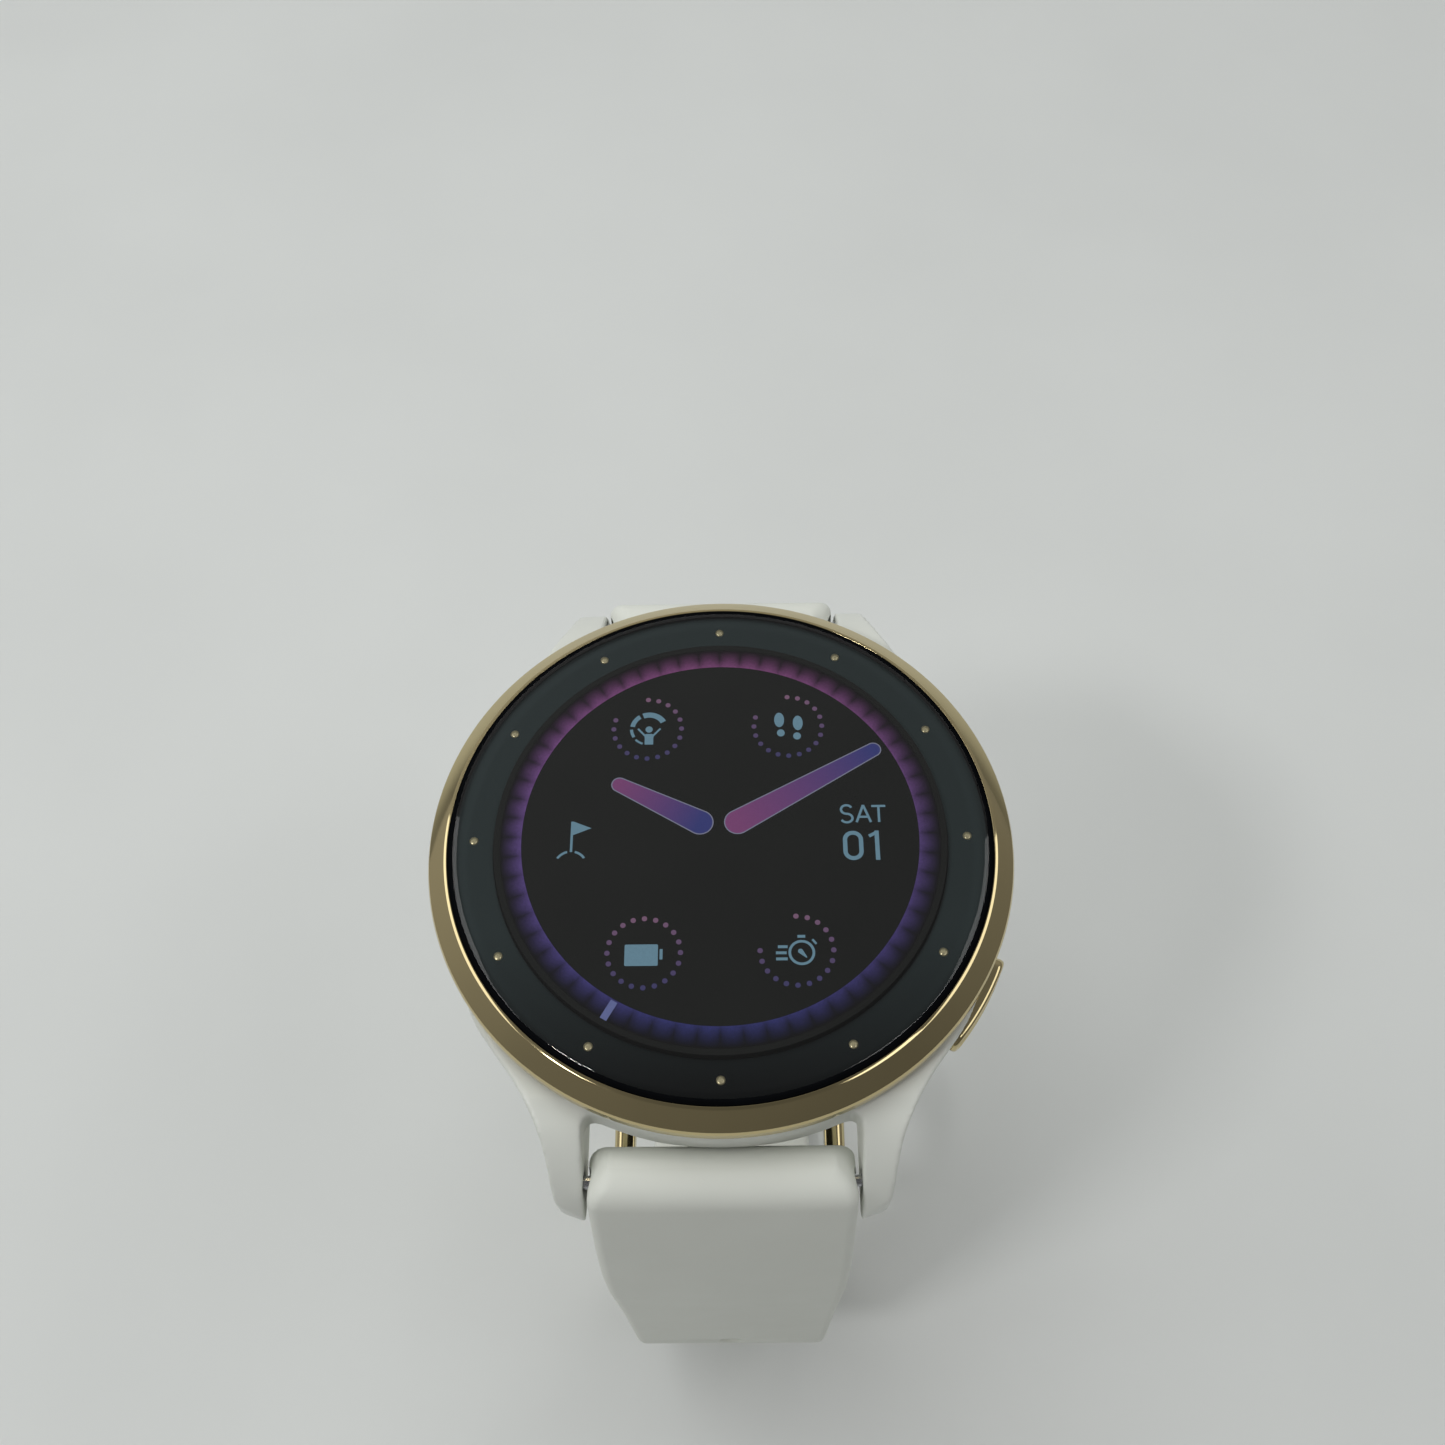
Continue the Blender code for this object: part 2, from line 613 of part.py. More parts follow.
def make_bar(end_name, end, mover):
    """A quick-release bar: tube, sliding pin with its lever, and the spring between them."""
    y = end * BAR_Y
    axis_point = (0.0, y, BAR_Z)
    lay = Matrix.Translation(Vector(axis_point) * MM) @ Matrix.Rotation(math.radians(90), 4, "Y")
    profile = [(0.0, 8.6), (0.78, 8.6), (0.78, -8.6), (0.45, -8.75), (0.45, -9.9), (0.0, -9.9)]
    tube = turned(f"bar_tube_{end_name}", profile, closed=False, steps=16)
    tube.matrix_world = lay
    bpy.context.view_layer.update()
    cut(tube, cylinder(f"tube_bore_{end_name}", 0.52, (-2.0, y, BAR_Z), (9.5, y, BAR_Z), 16))
    inward = Vector((0, -end * math.sin(STRAP_DROP), -math.cos(STRAP_DROP)))
    turn = Vector((0, 0, 1)).rotation_difference(inward).to_matrix().to_4x4()
    slot = box(f"tube_slot_{end_name}", (5.2, -0.36, 0.0), (7.9, 0.36, 1.2))
    slot.matrix_world = Matrix.Translation(Vector(axis_point) * MM) @ turn
    bpy.context.view_layer.update()
    cut(tube, slot)
    pivot(finish(tube, MATERIALS["steel"]), axis_point, mover)
    pin = cylinder(f"release_pin_{end_name}", 0.42, (4.9, y, BAR_Z), (9.9, y, BAR_Z), 16)
    reach = Vector((7.3, y, BAR_Z))
    join(pin, cylinder(f"release_lever_{end_name}", 0.26, reach, reach + inward * 2.3, 10))
    pivot(finish(pin, MATERIALS["steel"]), (7.3, y, BAR_Z), mover)
    spring = coil(f"bar_spring_{end_name}", y)
    pivot(finish(spring, MATERIALS["steel"]), axis_point, mover)


def coil(name, y):
    """The compression spring inside the tube, wound about the bar's axis."""
    turns, per_turn = 6, 6
    curve = bpy.data.curves.new(name, "CURVE")
    curve.dimensions = "3D"
    curve.bevel_depth = 0.08 * MM
    curve.bevel_resolution = 0
    curve.use_fill_caps = True
    spline = curve.splines.new("POLY")
    count = turns * per_turn
    spline.points.add(count)
    for i in range(count + 1):
        angle = 2 * math.pi * i / per_turn
        x = -1.8 + 6.5 * i / count
        point = Vector((x, y + 0.33 * math.cos(angle), BAR_Z + 0.33 * math.sin(angle))) * MM
        spline.points[i].co = (*point, 1.0)
    return bake(add_object(name, curve))


def make_strap_lower():
    points = strap_line(LONG_LINE)
    strap = loft_strap("strap_lower", strap_sections(points, True), -1)
    cut_bar_bore(strap, "lower", -1)
    for i in range(HOLE_COUNT):
        centre, heading = point_at(points, HOLE_FIRST + i * HOLE_PITCH)
        normal = Vector((-heading.y, heading.x))
        low, high = centre - normal * 3.0, centre + normal * 3.0
        start, end = (0, -low.x, low.y), (0, -high.x, high.y)
        cut(strap, cylinder(f"strap_hole_{i + 1}", HOLE_R, start, end, 12))
    mover = empty("strap_lower_axis", (0.0, -BAR_Y, BAR_Z))
    pivot(finish(strap, MATERIALS["strap"]), (0.0, -BAR_Y, BAR_Z), mover)
    make_bar("lower", -1, mover)


def bend_centre():
    """The middle of the short half's bend, as (y, z). The keeper slides round it."""
    drop, bend = SHORT_LINE[:2]
    start = Vector(strap_line(SHORT_LINE)[drop[1]])
    step_turn = (drop[2] - bend[2]) / bend[1]
    radius = bend[0] / bend[1] / (2 * math.sin(step_turn / 2))
    return start - Vector((radius, 0.0))


def make_strap_upper():
    points = strap_line(SHORT_LINE)
    strap = loft_strap("strap_upper", strap_sections(points, False), 1)
    cut_bar_bore(strap, "upper", 1)
    bar = Vector(points[-1])
    loop = cylinder("buckle_loop", LOOP_R, (-TIP_HALF_W, bar.x, bar.y), (TIP_HALF_W, bar.x, bar.y), 24)
    join(strap, loop)
    cut(strap, cylinder("buckle_bore", BUCKLE_BAR_R + 0.15, (-12, bar.x, bar.y), (12, bar.x, bar.y), 20))
    slot = box("tongue_slot", (-TONGUE_SLOT_HALF, bar.x - 3.0, bar.y - 3.0),
               (TONGUE_SLOT_HALF, bar.x + 3.2, bar.y + 3.0))
    cut(strap, slot)
    mover = empty("strap_upper_axis", (0.0, BAR_Y, BAR_Z))
    pivot(finish(strap, MATERIALS["strap"]), (0.0, BAR_Y, BAR_Z), mover)
    make_bar("upper", 1, mover)
    make_buckle(bar, mover)
    make_keeper(points, mover)


def make_buckle(bar, parent):
    """A frame and a tongue that turn on a bar through the end of the short half."""
    axis_point = (0.0, bar.x, bar.y)
    mover = empty("buckle_axis", axis_point)
    mover.parent = parent
    mover.matrix_parent_inverse = parent.matrix_world.inverted()
    bpy.context.view_layer.update()
    low = (-FRAME_HALF_W, bar.x - FRAME_REACH, bar.y - FRAME_HALF_T)
    high = (FRAME_HALF_W, bar.x + FRAME_BEHIND, bar.y + FRAME_HALF_T)
    frame = box("buckle_frame", low, high, 0.9, 2)
    inner_w = FRAME_HALF_W - FRAME_BAR
    window = box("buckle_window", (-inner_w, bar.x - FRAME_REACH + FRAME_BAR, bar.y - 3),
                 (inner_w, bar.x + 4.0, bar.y + 3), 0.6, 2, True)
    cut(frame, window)
    bar_ends = (-9.9, bar.x, bar.y), (9.9, bar.x, bar.y)
    cut(frame, cylinder("frame_bar_holes", BUCKLE_BAR_R + 0.1, *bar_ends, 20))
    seat_half = TONGUE_HALF_W + 0.3
    seat = box("tongue_seat", (-seat_half, bar.x - FRAME_REACH - 1.0, bar.y - 2.0),
               (seat_half, bar.x - FRAME_REACH + FRAME_BAR + 0.8, bar.y - 0.1))
    cut(frame, seat)
    pivot(finish(frame, MATERIALS["bezel"]), axis_point, mover)
    pin = cylinder("buckle_bar", BUCKLE_BAR_R, (-9.8, bar.x, bar.y), (9.8, bar.x, bar.y), 16)
    pivot(finish(pin, MATERIALS["steel"]), axis_point, mover)
    tongue = ring("buckle_tongue", BUCKLE_BAR_R + 0.12, 1.5, -0.9, 0.9, steps=20)
    tongue.data.transform(Matrix.Translation(Vector(axis_point) * MM)
                          @ Matrix.Rotation(math.radians(90), 4, "Y"))
    finger = box("tongue_finger", (-TONGUE_HALF_W, bar.x - FRAME_REACH + 0.35, bar.y - 1.25),
                 (TONGUE_HALF_W, bar.x - 1.1, bar.y - 0.4), 0.25, 1)
    join(tongue, finger)
    pivot(finish(tongue, MATERIALS["bezel"]), axis_point, mover)


def make_keeper(points, parent):
    """The free loop, which turns about the middle of the short half's bend."""
    centre, heading = point_at(points, KEEPER_AT)
    outer_w = half_width_at(KEEPER_AT) + KEEPER_GAP + KEEPER_WALL
    half_t = STRAP_THICK / 2
    top = half_t + KEEPER_GAP + KEEPER_WALL
    low = -half_t - KEEPER_GAP - TAIL_ROOM - KEEPER_WALL
    half_l = KEEPER_LENGTH / 2
    loop = box("keeper_loop", (-outer_w, -half_l, low), (outer_w, half_l, top), 0.5, 2)
    inner = box("keeper_inside", (-outer_w + KEEPER_WALL, -9, low + KEEPER_WALL),
                (outer_w - KEEPER_WALL, 9, top - KEEPER_WALL), 0.4, 2)
    cut(loop, inner)
    loop = bake(loop)
    tilt = math.atan2(-heading.y, -heading.x)
    axis_point = Vector((0.0, centre.x, centre.y))
    loop.data.transform(Matrix.Translation(axis_point * MM) @ Matrix.Rotation(tilt, 4, "X"))
    middle = bend_centre()
    axis_middle = (0.0, middle.x, middle.y)
    mover = empty("keeper_axis", axis_middle)
    mover.parent = parent
    mover.matrix_parent_inverse = parent.matrix_world.inverted()
    bpy.context.view_layer.update()
    pivot(finish(loop, MATERIALS["strap"]), axis_middle, mover)


# ---------------------------------------------------------------- build

clear_scene()
PARTS = collection("golf_gps_watch")
CUTTERS = collection("cutters")
MATERIALS = {
    "case": material("ivory polymer", (0.80, 0.79, 0.74), 0.45),
    "strap": material("ivory silicone", (0.82, 0.80, 0.75), 0.55),
    "bezel": material("light gold metal", (0.72, 0.62, 0.42), 0.12, 1.0),
    "glass": material("cover glass", (0.95, 0.97, 0.97), 0.02),
    "tinted": material("tinted window", (0.02, 0.02, 0.025), 0.05),
    "black": material("black polymer", (0.03, 0.035, 0.04), 0.4),
    "screen": material("display", (0.01, 0.01, 0.01), 0.1),
    "back": material("ivory back", (0.78, 0.77, 0.73), 0.5),
    "rubber": material("seal rubber", (0.05, 0.05, 0.05), 0.7),
    "steel": material("steel", (0.6, 0.6, 0.62), 0.25, 1.0),
    "gold": material("gold contact", (0.85, 0.66, 0.3), 0.2, 1.0),
    "board": material("circuit board", (0.02, 0.12, 0.06), 0.4),
    "flex": material("flexible circuit", (0.55, 0.3, 0.05), 0.4),
    "ceramic": material("antenna ceramic", (0.8, 0.8, 0.78), 0.5),
    "foil": material("battery foil", (0.7, 0.7, 0.72), 0.3, 1.0),
    "led": material("led package", (0.9, 0.9, 0.6), 0.3),
}
make_case()
make_bezel()
make_glass()
make_dial()
make_back()
make_back_screws()
make_charge_port()
make_frame_and_boards()
make_sensor()
for button_name, button_angle in BUTTON_ANGLES.items():
    make_button(button_name, button_angle, BUTTON_OUT_R[button_name])
make_side_flex()
make_strap_lower()
make_strap_upper()
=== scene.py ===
import json
import math

import bmesh
import bpy
from mathutils import Matrix, Vector


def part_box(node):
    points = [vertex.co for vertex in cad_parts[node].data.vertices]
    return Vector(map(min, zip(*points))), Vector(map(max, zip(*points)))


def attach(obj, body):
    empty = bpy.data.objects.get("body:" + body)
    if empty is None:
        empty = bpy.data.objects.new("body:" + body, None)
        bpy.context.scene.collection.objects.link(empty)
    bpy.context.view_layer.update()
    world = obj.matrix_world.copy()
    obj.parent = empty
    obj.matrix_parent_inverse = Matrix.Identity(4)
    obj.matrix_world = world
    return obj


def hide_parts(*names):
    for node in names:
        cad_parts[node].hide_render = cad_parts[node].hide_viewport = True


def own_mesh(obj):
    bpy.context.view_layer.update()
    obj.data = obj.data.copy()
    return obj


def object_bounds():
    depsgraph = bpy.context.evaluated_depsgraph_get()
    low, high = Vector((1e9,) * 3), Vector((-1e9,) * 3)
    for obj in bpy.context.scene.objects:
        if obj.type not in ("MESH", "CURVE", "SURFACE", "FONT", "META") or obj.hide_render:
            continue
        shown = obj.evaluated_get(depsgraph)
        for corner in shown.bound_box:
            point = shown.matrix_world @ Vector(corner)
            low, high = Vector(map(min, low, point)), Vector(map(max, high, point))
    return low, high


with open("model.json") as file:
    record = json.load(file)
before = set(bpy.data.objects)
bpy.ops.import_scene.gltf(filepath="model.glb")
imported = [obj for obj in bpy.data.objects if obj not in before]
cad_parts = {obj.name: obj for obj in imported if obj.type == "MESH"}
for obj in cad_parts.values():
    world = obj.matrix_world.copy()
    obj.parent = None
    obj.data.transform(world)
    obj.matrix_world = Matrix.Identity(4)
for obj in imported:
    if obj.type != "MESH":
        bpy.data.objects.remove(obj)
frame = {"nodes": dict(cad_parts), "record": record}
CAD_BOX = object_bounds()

# Lengths are millimetres in the row frame: z = 0 at the sensor window, +Z out of the dial.
MM = 0.001
NODES = frame["nodes"]
HEAD = "watch_head"
SCENE = bpy.context.scene
SCENE.view_settings.view_transform = "Standard"

# Steps round a turned piece, and round the ones whose outline is seen large
FINE = 224
FINEST = 320

GLASS_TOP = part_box("cover_glass")[1].z / MM
GLASS_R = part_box("cover_glass")[1].x / MM
BEZEL_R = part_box("bezel")[1].x / MM
FLOOR_Z = CAD_BOX[0].z / MM

# Dial
LENS_R = 15.73
LENS_TOP = 11.93
ART_Z = 11.945
ART_STEP = 0.004
RING_Z = 11.37
DOTS_R = 17.2
DOT_R = 0.31
LIGHT_INNER_R = 13.80
LIGHT_OUTER_R = 15.30
GAUGE_X = 5.1
GAUGE_Y = 8.68
GAUGE_R = 2.45
GAUGE_DOT_R = 0.185

# Case: the top and radius of its wall, and the lugs with the webs in their inner corners
CASE_TOP = 9.1
CASE_R = 20.3
CASE_VOXEL = 0.185
LUG_INNER_X = 9.15
WEB_R = 0.75

# Back
SCREW_R = 15.2
SCREW_ANGLES = (60, 120, 240, 300)

# Buttons: angle in degrees and reach of the face from the watch's axis
BUTTONS = {"upper": (32.0, 21.1), "middle": (0.0, 20.75), "lower": (-32.0, 21.1)}
BUTTON_Z = 7.4
BUTTON_HALF_L = 3.7
BUTTON_HALF_H = 1.0

# Straps: stretches of (length, heading at the end) in (outward, up), from the lug bar
BAR_Y = 22.0
BAR_Z = 4.9
BARREL_R = 2.0
LONG_BARREL_R = 2.26
STRAP_HALF_W = 8.9
TIP_HALF_W = 8.0
STRAP_THICK = 2.3
STRAP_DROP = math.radians(-72.0)
DOWN = math.radians(-90.0)
INWARD = math.radians(-180.0)
LONG_LINE = ((17.0, DOWN), (24.0, DOWN), (25.0, INWARD), (35.0, INWARD))
SHORT_LINE = ((17.0, DOWN), (35.0, INWARD), (8.0, INWARD))
STRAP_STEP = 0.5
HOLE_FIRST = 41.0
HOLE_PITCH = 5.0
HOLE_COUNT = 11
HOLE_R = 0.95
TIP_LENGTH = 7.0
KEEPER_AT = 46.0

# Camera: aimed at a point above the middle of the dial
LENS_MM = 37.97
SENSOR_MM = 36.0
AIM = Vector((0.20, 9.37, 11.4))
DISTANCE = 111.0
AZIMUTH = math.radians(1.53)
ELEVATION = math.radians(59.46)
ROLL = math.radians(-2.0)


# ---------------- materials

def rgb(red, green, blue):
    """A colour given as it is seen, 0 to 255, turned to linear light."""
    def linear(value):
        value /= 255.0
        return value / 12.92 if value < 0.04045 else ((value + 0.055) / 1.055) ** 2.4
    return linear(red), linear(green), linear(blue), 1.0


class Surface:
    """A Principled material and short ways to add procedural detail to it."""

    def __init__(self, name, color, roughness, metallic=0.0, **values):
        self.material = bpy.data.materials.new(name)
        self.material.use_nodes = True
        self.tree = self.material.node_tree
        self.shader = self.tree.nodes["Principled BSDF"]
        self.color = color
        self.shader.inputs["Base Color"].default_value = color
        self.shader.inputs["Roughness"].default_value = roughness
        self.shader.inputs["Metallic"].default_value = metallic
        for key, value in values.items():
            self.shader.inputs[key.replace("_", " ")].default_value = value
        self.place = self.node("ShaderNodeTexCoord").outputs["Object"]

    def node(self, kind, **settings):
        made = self.tree.nodes.new(kind)
        for key, value in settings.items():
            setattr(made, key, value)
        return made

    def link(self, output, target):
        self.tree.links.new(output, target)

    def noise(self, size, detail=4.0, stretch=(1.0, 1.0, 1.0)):
        """Noise whose largest features are about size millimetres across."""
        mapping = self.node("ShaderNodeMapping")
        mapping.inputs["Scale"].default_value = stretch
        self.link(self.place, mapping.inputs["Vector"])
        made = self.node("ShaderNodeTexNoise")
        made.inputs["Scale"].default_value = 1.0 / (size * MM)
        made.inputs["Detail"].default_value = detail
        self.link(mapping.outputs["Vector"], made.inputs["Vector"])
        return made.outputs["Fac"]

    def ramp(self, source, low, high, first=0.3, last=0.7):
        made = self.node("ShaderNodeValToRGB")
        made.color_ramp.elements[0].position = first
        made.color_ramp.elements[1].position = last
        made.color_ramp.elements[0].color = low
        made.color_ramp.elements[1].color = high
        self.link(source, made.inputs["Fac"])
        return made.outputs["Color"]

    def mottle(self, size, amount, detail=4.0):
        """Let the colour drift a little, lighter and darker."""
        low = tuple(c * (1.0 - amount) for c in self.color[:3]) + (1.0,)
        high = tuple(min(c * (1.0 + amount), 1.0) for c in self.color[:3]) + (1.0,)
        color = self.ramp(self.noise(size, detail), low, high)
        self.link(color, self.shader.inputs["Base Color"])
        return self

    def span(self, source, first, last, low=0.0, high=1.0):
        """The source's values from first to last, spread from low to high."""
        made = self.node("ShaderNodeMapRange")
        for key, value in zip(("From Min", "From Max", "To Min", "To Max"), (first, last, low, high)):
            made.inputs[key].default_value = value
        self.link(source, made.inputs["Value"])
        return made.outputs["Result"]

    def vary_roughness(self, size, low, high, stretch=(1.0, 1.0, 1.0)):
        rough = self.span(self.noise(size, 6.0, stretch), 0.3, 0.7, low, high)
        self.link(rough, self.shader.inputs["Roughness"])
        return self

    def bump(self, size, height, strength=0.5, detail=3.0, stretch=(1.0, 1.0, 1.0)):
        """Raise and lower the surface by about height millimetres."""
        made = self.node("ShaderNodeBump")
        made.inputs["Strength"].default_value = strength
        made.inputs["Distance"].default_value = height * MM
        self.link(self.noise(size, detail, stretch), made.inputs["Height"])
        self.link(made.outputs["Normal"], self.shader.inputs["Normal"])
        return self


def ivory(name, color, roughness, grain):
    made = Surface(name, color, roughness, IOR=1.46)
    made.mottle(9.0, 0.012)
    made.vary_roughness(2.5, roughness - 0.05, roughness + 0.05)
    return made.bump(grain, 0.006, 0.35).material


def polished_gold():
    made = Surface("polished_gold", rgb(205, 189, 144), 0.07, 1.0)
    made.mottle(6.0, 0.03)
    made.vary_roughness(1.6, 0.05, 0.09)
    return made.bump(4.0, 0.002, 0.08).material


def brushed_steel(name, color, roughness=0.24):
    made = Surface(name, color, roughness, 1.0)
    made.mottle(3.0, 0.05)
    made.vary_roughness(0.5, roughness - 0.08, roughness + 0.1, (1.0, 6.0, 6.0))
    return made.bump(0.25, 0.004, 0.2, stretch=(1.0, 8.0, 8.0)).material


def plain(name, color, roughness, size=1.5, metallic=0.0, height=0.004):
    made = Surface(name, color, roughness, metallic)
    made.mottle(size, 0.10)
    made.vary_roughness(size, max(roughness - 0.08, 0.03), roughness + 0.08)
    return made.bump(size * 0.4, height, 0.3).material


def dull_black(name, color, roughness, size, amount):
    """An even, deep black without gloss of its own, for what lies behind the cover glass: the display's
    own black, and the painted shade of the band under the glass's rounded edge.
    """
    return Surface(name, color, roughness, Specular_IOR_Level=0.0).mottle(size, amount).material


def circuit_board():
    made = Surface("solder_mask", rgb(18, 74, 48), 0.35)
    voronoi = made.node("ShaderNodeTexVoronoi", feature="DISTANCE_TO_EDGE")
    voronoi.inputs["Scale"].default_value = 1.0 / (1.6 * MM)
    made.link(made.place, voronoi.inputs["Vector"])
    traces = made.ramp(voronoi.outputs["Distance"], rgb(40, 120, 74), made.color, 0.02, 0.06)
    made.link(traces, made.shader.inputs["Base Color"])
    return made.bump(0.4, 0.01, 0.3).material


def see_through(name, tint, ior, roughness):
    """Clear or tinted glass in one thin layer: light goes through, and it reflects by angle."""
    made = Surface(name, (1.0, 1.0, 1.0, 1.0), roughness, 1.0)
    clear = made.node("ShaderNodeBsdfTransparent")
    clear.inputs["Color"].default_value = tint
    gloss = made.node("ShaderNodeFresnel")
    gloss.inputs["IOR"].default_value = ior
    mix = made.node("ShaderNodeMixShader")
    made.link(gloss.outputs["Fac"], mix.inputs["Fac"])
    made.link(clear.outputs["BSDF"], mix.inputs[1])
    made.link(made.shader.outputs["BSDF"], mix.inputs[2])
    made.link(mix.outputs["Shader"], made.tree.nodes["Material Output"].inputs["Surface"])
    return made.material


def lit_art(name, strength, grain=0.0):
    """Display light, coloured by the mesh's own tint attribute."""
    made = Surface(name, (0.0, 0.0, 0.0, 1.0), 0.4)
    tint = made.node("ShaderNodeAttribute", attribute_name="tint").outputs["Color"]
    if grain:
        speck = made.ramp(made.noise(0.10, 2.0), (1 - grain,) * 3 + (1.0,), (1.0,) * 4)
        mixed = made.node("ShaderNodeMix", data_type="RGBA", blend_type="MULTIPLY")
        mixed.inputs["Factor"].default_value = 1.0
        made.link(tint, mixed.inputs["A"])
        made.link(speck, mixed.inputs["B"])
        tint = mixed.outputs["Result"]
    made.link(tint, made.shader.inputs["Emission Color"])
    made.shader.inputs["Emission Strength"].default_value = strength
    return made.material


def print_slate_and_painted_shade():
    """The printed ring: slate print, with painted shade that gives it a dark inner border and deepens
    it towards 6 o'clock.
    """
    made = Surface("printed_ring_painted_shade", rgb(49, 59, 60), 0.4, Specular_IOR_Level=0.1)
    # Painted shade: the slate darkens towards 6 o'clock.
    split = made.node("ShaderNodeSeparateXYZ")
    made.link(made.place, split.inputs["Vector"])
    painted_shade_fade = made.span(split.outputs["Y"], -18.0 * MM, -7.0 * MM)
    slate = made.ramp(painted_shade_fade, rgb(13, 16, 17), made.color, 0.0, 1.0)
    flat = made.node("ShaderNodeVectorMath", operation="MULTIPLY")
    flat.inputs[1].default_value = (1.0, 1.0, 0.0)
    made.link(made.place, flat.inputs[0])
    reach = made.node("ShaderNodeVectorMath", operation="LENGTH")
    made.link(flat.outputs["Vector"], reach.inputs[0])
    # Painted shade: a dark band at the inner border, at the foot of the display lens.
    mixed = made.node("ShaderNodeMix", data_type="RGBA")
    made.link(made.span(reach.outputs["Value"], 15.6 * MM, 15.95 * MM), mixed.inputs["Factor"])
    mixed.inputs["A"].default_value = rgb(13, 14, 15)
    made.link(slate, mixed.inputs["B"])
    made.link(mixed.outputs["Result"], made.shader.inputs["Base Color"])
    return made.bump(0.3, 0.003, 0.2).material


CASE = ivory("case_ivory", rgb(222, 224, 217), 0.36, 0.5)
BACK = ivory("back_ivory", rgb(218, 219, 212), 0.42, 0.5)
STRAP = ivory("strap_silicone", rgb(225, 227, 219), 0.52, 0.22)
GOLD = polished_gold()
GLASS = see_through("cover_glass_clear", (1.0, 1.0, 1.0, 1.0), 1.5, 0.012)
TINTED = see_through("sensor_glass", rgb(96, 92, 98), 1.52, 0.02)
DISPLAY_BLACK = dull_black("display_black", rgb(42, 43, 42), 0.3, 8.0, 0.05)
PRINT_AND_PAINTED_SHADE = print_slate_and_painted_shade()
# Painted shade for the band under the glass's rounded edge.
EDGE_PAINTED_SHADE = dull_black("edge_painted_shade", rgb(12, 13, 15), 0.4, 2.0, 0.1)
DOT_GOLD = Surface("dot_gold", rgb(240, 228, 184), 0.34, 0.75).bump(0.2, 0.004, 0.3).material
GLOW = lit_art("display_art", 1.0, 0.10)
RING_GLOW = lit_art("display_ring", 1.0, 0.35)
STEEL = brushed_steel("steel_bright", rgb(196, 197, 200))
BLACK = plain("black_polymer", rgb(28, 29, 31), 0.42)
RUBBER = plain("seal_rubber", rgb(30, 30, 30), 0.7)
CONTACT = plain("contact_gold", rgb(226, 186, 104), 0.2, 0.6, 1.0)
BOARD = circuit_board()
FLEX = plain("flex_amber", rgb(176, 112, 40), 0.35, 0.8)
CERAMIC = plain("antenna_ceramic", rgb(214, 212, 204), 0.5)
FOIL = plain("pouch_foil", rgb(190, 190, 194), 0.3, 2.0, 1.0, 0.03)
EMITTER = plain("emitter_clear", rgb(226, 228, 190), 0.15, 0.5)
SLOT_LOOKS = {"case": CASE, "strap": STRAP, "bezel": GOLD, "glass": GLASS, "tinted": TINTED,
              "black": BLACK, "screen": DISPLAY_BLACK, "back": BACK, "rubber": RUBBER,
              "steel": STEEL, "gold": CONTACT, "board": BOARD, "flex": FLEX,
              "ceramic": CERAMIC, "foil": FOIL, "led": EMITTER}


# ---------------- mesh tools

def placed(name, data):
    """A new object in the scene."""
    obj = bpy.data.objects.new(name, data)
    SCENE.collection.objects.link(obj)
    return obj


def stored(bm, mesh):
    """Write the worked mesh back."""
    bm.to_mesh(mesh)
    bm.free()
    return mesh


def mesh_from(name, verts, faces, closed=True):
    """A mesh from points in millimetres, with doubles merged and faces turned outward."""
    mesh = bpy.data.meshes.new(name)
    mesh.from_pydata([Vector(v) * MM for v in verts], [], faces)
    bm = bmesh.new()
    bm.from_mesh(mesh)
    bmesh.ops.remove_doubles(bm, verts=bm.verts, dist=1e-7)
    if closed:
        bmesh.ops.recalc_face_normals(bm, faces=bm.faces)
    return stored(bm, mesh)


def show(name, mesh, look, body, stands_for=(), sharp=40.0):
    """Put a mesh in the scene as a piece that rides on a CAD body."""
    mesh.materials.clear()
    mesh.materials.append(look)
    mesh.shade_smooth()
    mesh.set_sharp_from_angle(angle=math.radians(sharp))
    obj = placed(name, mesh)
    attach(obj, body)
    if stands_for:
        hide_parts(*stands_for)
    return obj


def fillet(points, radius, count=4, closed=True):
    """Round the corners of an outline."""
    rounded = []
    total = len(points)
    for i, point in enumerate(points):
        here = Vector(point)
        if not closed and i in (0, total - 1):
            rounded.append(here)
            continue
        before = Vector(points[i - 1]) - here
        after = Vector(points[(i + 1) % total]) - here
        reach = radius / max(math.tan(before.angle(after) / 2), 0.05)
        reach = min(reach, 0.45 * before.length, 0.45 * after.length)
        start = here + before.normalized() * reach
        end = here + after.normalized() * reach
        for k in range(count + 1):
            t = k / count
            rounded.append(start * (1 - t) ** 2 + here * 2 * t * (1 - t) + end * t * t)
    return rounded


def curved(points, count=6):
    """A smooth open line through points (a Catmull-Rom curve)."""
    points = [Vector(p) for p in points]
    ends = [points[0] * 2 - points[1], *points, points[-1] * 2 - points[-2]]
    line = []
    for a, b, c, d in zip(ends, ends[1:], ends[2:], ends[3:]):
        for k in range(count):
            t = k / count
            line.append((b * 2 + (c - a) * t + (a * 2 - b * 5 + c * 4 - d) * t ** 2
                         + (b * 3 - a - c * 3 + d) * t ** 3) / 2)
    return [tuple(p) for p in line] + [tuple(points[-1])]


def lofted(name, rings):
    """A closed solid skinned over rings of equally many points, with flat ends."""
    count = len(rings[0])
    faces = []
    for row in range(len(rings) - 1):
        one, two = row * count, (row + 1) * count
        for k in range(count):
            j = (k + 1) % count
            faces.append((one + k, one + j, two + j, two + k))
    last = (len(rings) - 1) * count
    faces += [tuple(range(count)), tuple(range(last, last + count))]
    return mesh_from(name, [point for ring in rings for point in ring], faces)


def extruded(name, outline, low, high, upper=None):
    """An outline in X and Y drawn up from low to high, there with the upper outline if given."""
    return lofted(name, [[(x, y, low) for x, y in outline],
                         [(x, y, high) for x, y in upper or outline]])


